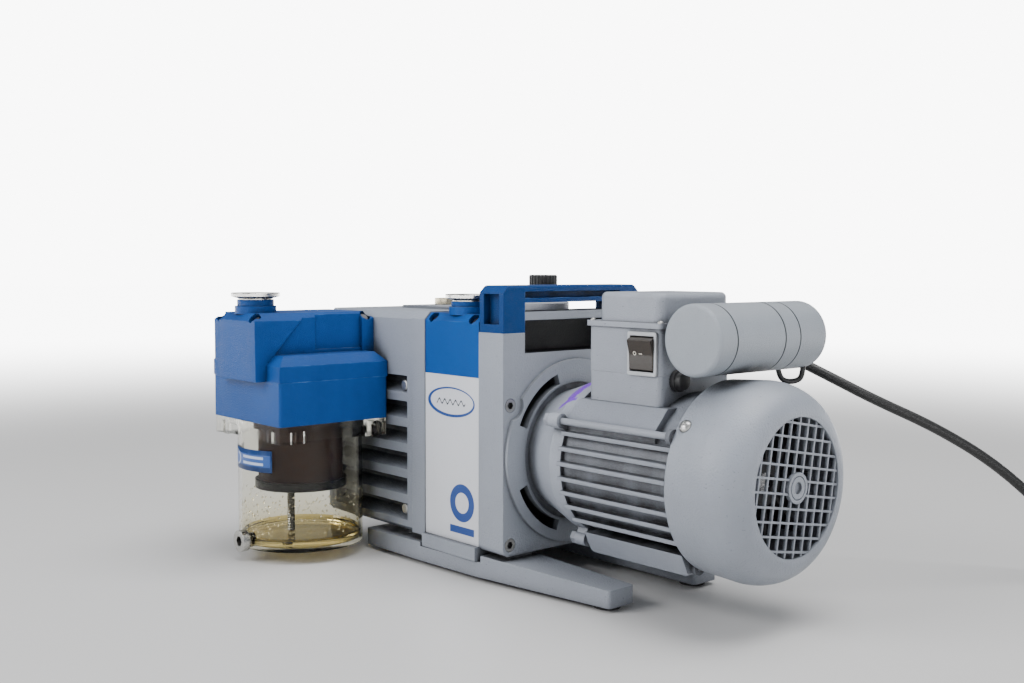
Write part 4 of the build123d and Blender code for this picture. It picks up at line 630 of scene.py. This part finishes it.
def grown(name, start_mesh, tree, values, material, body, slot_name, smooth=True):
    """Run a Geometry Nodes tree on a mesh and keep the result as a plain mesh."""
    seed = bpy.data.objects.new(name + "_seed", start_mesh)
    bpy.context.scene.collection.objects.link(seed)
    modifier = seed.modifiers.new("grow", "NODES")
    modifier.node_group = tree
    for item in tree.interface.items_tree:
        if item.in_out == "INPUT" and item.name in values:
            modifier[item.identifier] = values[item.name]
    evaluated = seed.evaluated_get(bpy.context.evaluated_depsgraph_get())
    final = bpy.data.meshes.new_from_object(evaluated)
    final.name = name
    seed.modifiers.remove(modifier)
    bpy.data.objects.remove(seed)
    final.materials.clear()
    final.polygons.foreach_set("use_smooth", [smooth] * len(final.polygons))
    final.polygons.foreach_set("material_index", [0] * len(final.polygons))
    return new_piece(name, final, body, slot_name, material)


def seats(name, places):
    """One point for each fastener, with the direction its head faces."""
    data = bpy.data.meshes.new(name)
    data.from_pydata([place for place, out in places], [], [])
    outward = data.attributes.new("outward", "FLOAT_VECTOR", "POINT")
    for index, (place, out) in enumerate(places):
        outward.data[index].vector = out
    return data


domed, sizes, grown_out = node_group("domed_screws", {"Geometry": None, "Head Radius": 4.5, "Head Height": 2.5,
                                                      "Recess Width": 1.1, "Recess Length": 5.0},
                                     {"Geometry": "NodeSocketGeometry"}, "GeometryNodeTree")
dome = made(domed, "GeometryNodeMeshUVSphere", {"Segments": 24, "Rings": 12, "Radius": 1.0})
dome_size = made(domed, "ShaderNodeCombineXYZ", {0: sizes["Head Radius"], 1: sizes["Head Radius"],
                                                 2: sizes["Head Height"]})
squash = made(domed, "GeometryNodeTransform", {"Geometry": dome.outputs["Mesh"], "Scale": dome_size.outputs[0]})
cutters = made(domed, "GeometryNodeJoinGeometry")
lift = made(domed, "ShaderNodeCombineXYZ", {2: sizes["Head Height"]})
for long_axis in (0, 1):
    blade_size = made(domed, "ShaderNodeCombineXYZ", {long_axis: sizes["Recess Length"],
                                                      1 - long_axis: sizes["Recess Width"],
                                                      2: sizes["Head Height"]})
    blade = made(domed, "GeometryNodeMeshCube", {"Size": blade_size.outputs[0]})
    raised = made(domed, "GeometryNodeTransform", {"Geometry": blade.outputs["Mesh"],
                                                   "Translation": lift.outputs[0]})
    join(domed, raised.outputs["Geometry"], cutters.inputs["Geometry"])
recess = made(domed, "GeometryNodeMeshBoolean", operation="DIFFERENCE")
join(domed, squash.outputs["Geometry"], recess.inputs["Mesh 1"])
join(domed, cutters.outputs["Geometry"], recess.inputs["Mesh 2"])
outward = made(domed, "GeometryNodeInputNamedAttribute", {"Name": "outward"}, data_type="FLOAT_VECTOR")
any_turn = made(domed, "FunctionNodeRandomValue", {"Seed": 5, 3: math.pi})
twist = made(domed, "ShaderNodeCombineXYZ", {2: any_turn.outputs[1]})
twisted = made(domed, "FunctionNodeEulerToRotation", {0: twist.outputs[0]})
aimed = made(domed, "FunctionNodeAlignRotationToVector", {"Rotation": twisted.outputs[0],
                                                          "Vector": outward.outputs["Attribute"]}, axis="Z")
placed = made(domed, "GeometryNodeInstanceOnPoints", {"Points": sizes["Geometry"],
                                                      "Instance": recess.outputs["Mesh"],
                                                      "Rotation": aimed.outputs["Rotation"],
                                                      "Scale": (0.001, 0.001, 0.001)})
screw_zinc = machined("cowl_screw_zinc", (0.48, 0.48, 0.47), 0.32, stain=0.45, grime=0.9)
dressed(domed, placed, screw_zinc, grown_out)

cowl_screw_line = Vector((face_x + 0.1615, shaft_y, shaft_z))
cowl_wall_radius = 0.0687
cowl_seats = []
for angle in (36.6, 143.4, 270.0):
    out = Vector((0.0, math.cos(math.radians(angle)), math.sin(math.radians(angle))))
    cowl_seats.append((cowl_screw_line + out * cowl_wall_radius, out))
cowl_heads = grown("cowl_screw_heads", seats("cowl_screw_seats", cowl_seats), domed,
                   {"Head Radius": 4.8, "Head Height": 3.1, "Recess Width": 1.1, "Recess Length": 5.0},
                   screw_zinc, "root", "zinc_steel", False)
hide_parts("cowl_screws")

# ---- Terminal box -------------------------------------------------------------------------
# Three grey mouldings stacked on the motor: base, switch frame and hooded lid, held by small
# screws at the lid's corners. Their skin is slightly pitted.

box_finish = dict(edge_colour=(0.45, 0.47, 0.50, 1.0), edge_wear=0.5, edge_radius=0.0010, mottle=0.18, specks=0.45,
                  grime=0.95, dust=0.05, peel_scale=1300.0, peel_depth=2.2, roughness=0.50)
box_paint = coated("terminal_box_moulding", (0.258, 0.278, 0.320), **box_finish)
finish(box_paint, "terminal_base", "terminal_frame", "terminal_lid")
lid_low, lid_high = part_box("lid_screws")
lid_seats = []
for x_place in (lid_low[0] + 0.0022, lid_high[0] - 0.0022):
    for y_place in (lid_low[1] + 0.0022, lid_high[1] - 0.0022):
        lid_seats.append((Vector((x_place, y_place, lid_low[2])), Vector((0, 0, 1))))
lid_heads = grown("lid_screw_heads", seats("lid_screw_seats", lid_seats), domed,
                  {"Head Radius": 2.3, "Head Height": 1.9, "Recess Width": 0.6, "Recess Length": 2.6},
                  screw_zinc, "root", "zinc_steel", False)
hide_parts("lid_screws")

# ---- Mains switch -------------------------------------------------------------------------
# Grey bezel round a dark brown glossy rocker, which is printed with the usual small ring for
# off and a short bar for on.

finish(coated("switch_bezel", (0.42, 0.435, 0.46), **dict(box_finish, specks=0.1, roughness=0.38)), "switch_frame")
rocker_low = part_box("switch_rocker")[0]
rocker_brown = coated("rocker_moulding", (0.016, 0.010, 0.006), edge_colour=(0.12, 0.09, 0.06, 1.0), edge_wear=0.5,
                      edge_radius=0.0007, mottle=0.5, specks=0.1, grime=0.7, dust=0.1, peel_depth=0.2, roughness=0.20)
tree = rocker_brown.node_tree
x, y, z = whereabouts(tree)
ring_mid = (rocker_low[0] + 0.0055, 0.1857)
ring = oval(tree, x, z, ring_mid, (0.0015, 0.0015))
marks = times(tree, ramp(tree, ring, 1.05, 0.95), ramp(tree, ring, 0.55, 0.65))
dash = times(tree, ramp(tree, apart(tree, x, ring_mid[0] + 0.0055),
                                   0.0016, 0.0014),
            ramp(tree, apart(tree, z, 0.1855), 0.0005, 0.0003))
over(rocker_brown, work(tree, "MAXIMUM", marks, dash), (0.55, 0.52, 0.45))
finish(rocker_brown, "switch_rocker")

# ---- Run capacitor ------------------------------------------------------------------------
# Round grey moulded case with two push-on end caps, clipped behind the terminal box. Its
# lead leaves the box through a small black gland below it and ends in a bent clip.

can_paint = coated("capacitor_moulding", (0.250, 0.275, 0.308), **dict(box_finish, specks=0.2, roughness=0.44))
can_low, can_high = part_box("capacitor_can")
tree = can_paint.node_tree
y = whereabouts(tree)["Y"]
for seam_place in (can_low[1] + 0.0004, can_high[1] - 0.0175, can_high[1]):
    seam_off = apart(tree, y, seam_place)
    over(can_paint, ramp(tree, seam_off, 0.0009, 0.0005), (0.05, 0.055, 0.06))
finish(can_paint, "capacitor_can", "capacitor_caps", "capacitor_clip")


def lathe(name, profile, centre, axis, steps, body, slot_name, material, smooth=True):
    """Turn a closed outline of (distance along, radius) about an axis into a mesh."""
    axis = Vector(axis).normalized()
    side = axis.orthogonal().normalized()
    other = axis.cross(side)
    points = []
    for along, radius in profile:
        for step in range(steps):
            angle = 2 * math.pi * step / steps
            points.append(Vector(centre) + axis * along + (side * math.cos(angle) + other * math.sin(angle)) * radius)
    faces = []
    rows = len(profile)
    for row in range(rows):
        after = (row + 1) % rows
        if profile[row][1] < 1e-7 and profile[after][1] < 1e-7:
            continue
        for step in range(steps):
            turned = (step + 1) % steps
            faces.append((row * steps + step, row * steps + turned, after * steps + turned, after * steps + step))
    data = bpy.data.meshes.new(name)
    data.from_pydata(points, [], faces)
    work_mesh = bmesh.new()
    work_mesh.from_mesh(data)
    bmesh.ops.remove_doubles(work_mesh, verts=work_mesh.verts, dist=1e-7)
    bmesh.ops.dissolve_degenerate(work_mesh, edges=work_mesh.edges, dist=1e-8)
    bmesh.ops.recalc_face_normals(work_mesh, faces=work_mesh.faces)
    work_mesh.to_mesh(data)
    work_mesh.free()
    data.polygons.foreach_set("use_smooth", [smooth] * len(data.polygons))
    if smooth:
        data.set_sharp_from_angle(angle=math.radians(38))
    return new_piece(name, data, body, slot_name, material)


lead_black = coated("lead_gland_moulding", (0.012, 0.012, 0.013), **black_finish)
box_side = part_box("terminal_frame")[1][0]
lathe("capacitor_gland", [(0.0, 0.0), (0.0, 0.0080), (0.0035, 0.0080), (0.0040, 0.0066), (0.0075, 0.0062),
                          (0.0085, 0.0046), (0.0085, 0.0)],
      (box_side, shaft_y - 0.0215, 0.1665), (1, 0, 0), 20, "root", "black_plastic", lead_black)
clip_points = [(-0.004, 0.0560, 0.1745), (-0.003, 0.0570, 0.1668), (0.0, 0.0610, 0.1632), (0.004, 0.0680, 0.1634),
               (0.007, 0.0712, 0.1668), (0.008, 0.0705, 0.1750)]
clip_curve = bpy.data.curves.new("capacitor_hook", "CURVE")
clip_curve.dimensions = "3D"
clip_curve.bevel_depth = 0.0020
clip_curve.bevel_resolution = 3
hook_line = clip_curve.splines.new("NURBS")
hook_line.points.add(len(clip_points) - 1)
for point, (dx, dy, height) in zip(hook_line.points, clip_points):
    point.co = (face_x + 0.159 + dx, shaft_y + dy, height, 1.0)
hook_line.use_endpoint_u = True
hook_line.order_u = 3
hook_seed = bpy.data.objects.new("hook_seed", clip_curve)
bpy.context.scene.collection.objects.link(hook_seed)
hook_mesh = bpy.data.meshes.new_from_object(hook_seed.evaluated_get(bpy.context.evaluated_depsgraph_get()))
bpy.data.objects.remove(hook_seed)
new_piece("capacitor_hook", hook_mesh, "root", "black_plastic", lead_black)

# ---- Cord finish and gland ----------------------------------------------------------------
# The cord's PVC jacket is black with a faint sheen and dusty scuffs, the gland is a black
# nylon nut and sleeve, and the moulded plug has bare brass blades.

cord_skin = coated("cord_jacket", (0.011, 0.011, 0.0115), **dict(black_finish, peel_scale=2400.0, roughness=0.42))
cord_curve.materials.append(cord_skin)
finish(lead_black, "cable_gland")
plug_skin = coated("plug_moulding", (0.012, 0.012, 0.013), **black_finish)
tree = plug_skin.node_tree
y = whereabouts(tree)["Y"]
blades = ramp(tree, y, plug_low[1] + 0.0192, plug_low[1] + 0.0188)
over(plug_skin, blades, (0.62, 0.52, 0.30), 0.28)
join(tree, blades, tree.nodes["Principled BSDF"].inputs["Metallic"])
finish(plug_skin, "plug")

# ---- Filter head --------------------------------------------------------------------------
# Two blue mouldings stacked over the bowl: the square head and the channel that leads the
# exhaust to its port. Deep counterbores at the top edges hold the screws.

finish(coated("filter_head_moulding", (0.0016, 0.052, 0.225), **blue_finish), "filter_head", "filter_channel")
finish(machined("head_screw_steel", (0.10, 0.10, 0.11), 0.4, stain=0.3, grime=0.9), "head_screws")

# ---- Filter bowl --------------------------------------------------------------------------
# Clear plastic bowl with a castellated flange, its wall misted with oil and cleaning marks.
# A silver plug with a hexagon socket closes the drain.

bowl_low, bowl_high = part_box("bowl")
bowl_x = (bowl_low[0] + bowl_high[0]) / 2
element_low, element_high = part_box("filter_element")
bowl_y = (element_low[1] + element_high[1]) / 2
clear, tree, shader = see_through("bowl_plastic", (0.985, 0.975, 0.90), 0.05, 1.0, 1.25)
z = whereabouts(tree)["Z"]
film = ramp(tree, work(tree, "ADD", z, times(tree, grain(tree, 35.0, 4.0), 0.05)), 0.085, 0.020)
join(tree, tint(tree, film, (0.975, 0.965, 0.90, 1.0), (0.965, 0.90, 0.66, 1.0)), shader.inputs["Base Color"])
haze = ramp(tree, grain(tree, 48.0, 5.0, (1.0, 1.0, 0.35)), 0.35, 0.85, 0.0, 0.10)
thick = ramp(tree, z, bowl_high[2] - 0.0150, bowl_high[2] - 0.0135, 0.0, 0.16)
join(tree, work(tree, "ADD", haze, thick), shader.inputs["Roughness"])
relief = made(tree, "ShaderNodeBump", {"Strength": 0.08, "Distance": 0.0004, "Height": grain(tree, 160.0, 3.0)})
join(tree, relief.outputs["Normal"], shader.inputs["Normal"])
finish(clear, "bowl")
finish(machined("drain_plug_nickel", (0.60, 0.59, 0.56), 0.25, stain=0.35, grime=0.9), "bowl_drain_plug")

# ---- Filter element and rod ---------------------------------------------------------------
# Wound brown paper cartridge soaked with oil, in a dark end cap, on a steel bolt beside a
# spiral-wound return tube.

element_paint = coated("element_paper", (0.026, 0.0085, 0.0045), specular=0.15, edge_colour=(0.10, 0.07, 0.05, 1.0),
                       edge_wear=0.1, mottle=0.7, specks=0.3, grime=0.3, dust=0.0, peel_scale=350.0, peel_depth=1.5,
                       roughness=0.62)
tree = element_paint.node_tree
z = whereabouts(tree)["Z"]
rim_mask = ramp(tree, z, element_low[2] + 0.0072, element_low[2] + 0.0068)
over(element_paint, rim_mask, (0.010, 0.010, 0.011), 0.35)
finish(element_paint, "filter_element")
tube_metal = machined("return_tube_steel", (0.42, 0.42, 0.41), 0.35, stain=0.7, grime=0.4)
tree = tube_metal.node_tree
z = whereabouts(tree)["Z"]
ribbed(tube_metal, times(tree, work(tree, "PINGPONG", z, 0.0011), 900.0), 0.0009, 0.9)
finish(tube_metal, "filter_rod")

# ---- Collected oil ------------------------------------------------------------------------
# A shallow amber pool of condensed oil on the bowl's floor, creeping up the wall in a
# meniscus, with drops on the wall above it.

oil_colour, tree, shader = see_through("collected_oil", (0.97, 0.80, 0.38), 0.03, 1.0, 1.36)
cloud = ramp(tree, grain(tree, 30.0, 3.0), 0.3, 0.7)
join(tree, tint(tree, cloud, (0.975, 0.86, 0.50, 1.0), (0.95, 0.76, 0.32, 1.0)), shader.inputs["Base Color"])
floor_height = 0.0137
pool = [(0.0, 0.0), (0.0, 0.0480), (0.0020, 0.0498), (0.0072, 0.0498), (0.0052, 0.0488), (0.0045, 0.0470),
        (0.0042, 0.0440), (0.0042, 0.0)]
lathe("oil_pool", pool, (bowl_x, bowl_y, floor_height), (0, 0, 1), 96, "root", "clear_glass", oil_colour)

drops, sizes, grown_out = node_group("wall_drops", {"Geometry": None, "Wall Radius": 0.0499, "Wall Height": 0.04,
                                                    "Wall Foot": 0.022, "Drop Size": 0.0008, "Count": 260},
                                     {"Geometry": "NodeSocketGeometry"}, "GeometryNodeTree")
wall = made(drops, "GeometryNodeMeshCylinder", {"Vertices": 64, "Radius": sizes["Wall Radius"],
                                                "Depth": sizes["Wall Height"]}, fill_type="NONE")
middle = made(drops, "ShaderNodeMath", {0: sizes["Wall Height"], 1: 0.5, 2: sizes["Wall Foot"]},
              operation="MULTIPLY_ADD")
stand = made(drops, "ShaderNodeCombineXYZ", {0: bowl_x, 1: bowl_y, 2: middle.outputs[0]})
moved = made(drops, "GeometryNodeTransform", {"Geometry": wall.outputs["Mesh"], "Translation": stand.outputs[0]})
around = times(drops, sizes["Wall Radius"], 2 * math.pi)
wall_area = times(drops, sizes["Wall Height"], around)
density = work(drops, "DIVIDE", sizes["Count"], wall_area)
scatter = made(drops, "GeometryNodeDistributePointsOnFaces", {"Mesh": moved.outputs["Geometry"],
                                                              "Density": density, "Seed": 7},
               distribute_method="RANDOM")
bead = made(drops, "GeometryNodeMeshIcoSphere", {"Radius": 1.0, "Subdivisions": 2})
flattened = made(drops, "GeometryNodeTransform", {"Geometry": bead.outputs["Mesh"], "Scale": (1.0, 1.15, 0.55)})
small = times(drops, sizes["Drop Size"], 0.3)
any_size = made(drops, "FunctionNodeRandomValue", {"Seed": 3, 2: small, 3: sizes["Drop Size"]})
beads = made(drops, "GeometryNodeInstanceOnPoints", {"Points": scatter.outputs["Points"],
                                                     "Rotation": scatter.outputs["Rotation"],
                                                     "Instance": flattened.outputs["Geometry"],
                                                     "Scale": any_size.outputs[1]})
bead_oil, tree, shader = see_through("oil_beads", (0.97, 0.93, 0.78), 0.02, 1.0, 1.45)
join(tree, tint(tree, grain(tree, 90.0), (0.98, 0.95, 0.84, 1.0), (0.93, 0.84, 0.60, 1.0)),
     shader.inputs["Base Color"])
dressed(drops, beads, bead_oil, grown_out)
seed_mesh = bpy.data.meshes.new("drop_seed")
seed_mesh.from_pydata([(0, 0, 0)], [], [])
grown("wall_drops", seed_mesh, drops, {"Wall Radius": 0.0499, "Wall Height": 0.036, "Wall Foot": 0.021,
                                       "Drop Size": 0.00095, "Count": 420}, bead_oil, "root", "clear_glass")

# ---- Bowl sticker -------------------------------------------------------------------------
# A plain blue vinyl label wrapped round the bowl, printed with a white oval and two pale
# bars in place of any wording.

sticker_rows, sticker_steps = 4, 40
sticker_low, sticker_high = 0.0765, 0.0945
sticker_start, sticker_end = math.radians(-134), math.radians(-57)
sticker_radius = 0.0531
sticker_points, sticker_faces = [], []
for row in range(sticker_rows + 1):
    for step in range(sticker_steps + 1):
        angle = sticker_start + (sticker_end - sticker_start) * step / sticker_steps
        sticker_points.append((bowl_x + sticker_radius * math.cos(angle), bowl_y + sticker_radius * math.sin(angle),
                               sticker_low + (sticker_high - sticker_low) * row / sticker_rows))
for row in range(sticker_rows):
    for step in range(sticker_steps):
        corner = row * (sticker_steps + 1) + step
        sticker_faces.append((corner, corner + 1, corner + sticker_steps + 2, corner + sticker_steps + 1))
sticker_mesh = bpy.data.meshes.new("bowl_sticker")
sticker_mesh.from_pydata(sticker_points, [], sticker_faces)
unwrapped = sticker_mesh.uv_layers.new(name="wrap")
for loop in sticker_mesh.loops:
    row, step = divmod(loop.vertex_index, sticker_steps + 1)
    unwrapped.data[loop.index].uv = (step / sticker_steps, row / sticker_rows)
sticker_mesh.polygons.foreach_set("use_smooth", [True] * len(sticker_mesh.polygons))
vinyl = coated("sticker_vinyl", (0.012, 0.075, 0.30), edge_colour=(0.2, 0.3, 0.6, 1.0), mottle=0.15, specks=0.1,
               grime=0.2, dust=0.0, peel_scale=1800.0, peel_depth=0.3, roughness=0.38)
tree = vinyl.node_tree
wrap = made(tree, "ShaderNodeUVMap", uv_map="wrap")
split = made(tree, "ShaderNodeSeparateXYZ", {0: wrap.outputs["UV"]})
u, v = split.outputs[0], split.outputs[1]
white_oval = oval(tree, u, v, (0.30, 0.5), (0.15, 0.36))
white = times(tree, ramp(tree, white_oval, 1.03, 0.97), ramp(tree, white_oval, 0.80, 0.86))
for bar_height in (0.36, 0.64):
    bar = times(tree, ramp(tree, apart(tree, v, bar_height), 0.07, 0.05),
               ramp(tree, apart(tree, u, 0.70), 0.185, 0.175))
    white = work(tree, "MAXIMUM", white, bar)
over(vinyl, white, (0.42, 0.50, 0.66))
sticker = new_piece("bowl_sticker", sticker_mesh, "root", "blue_plastic", vinyl)
wall_of_vinyl = sticker.modifiers.new("thickness", "SOLIDIFY")
wall_of_vinyl.thickness = 0.00012
wall_of_vinyl.offset = 1.0
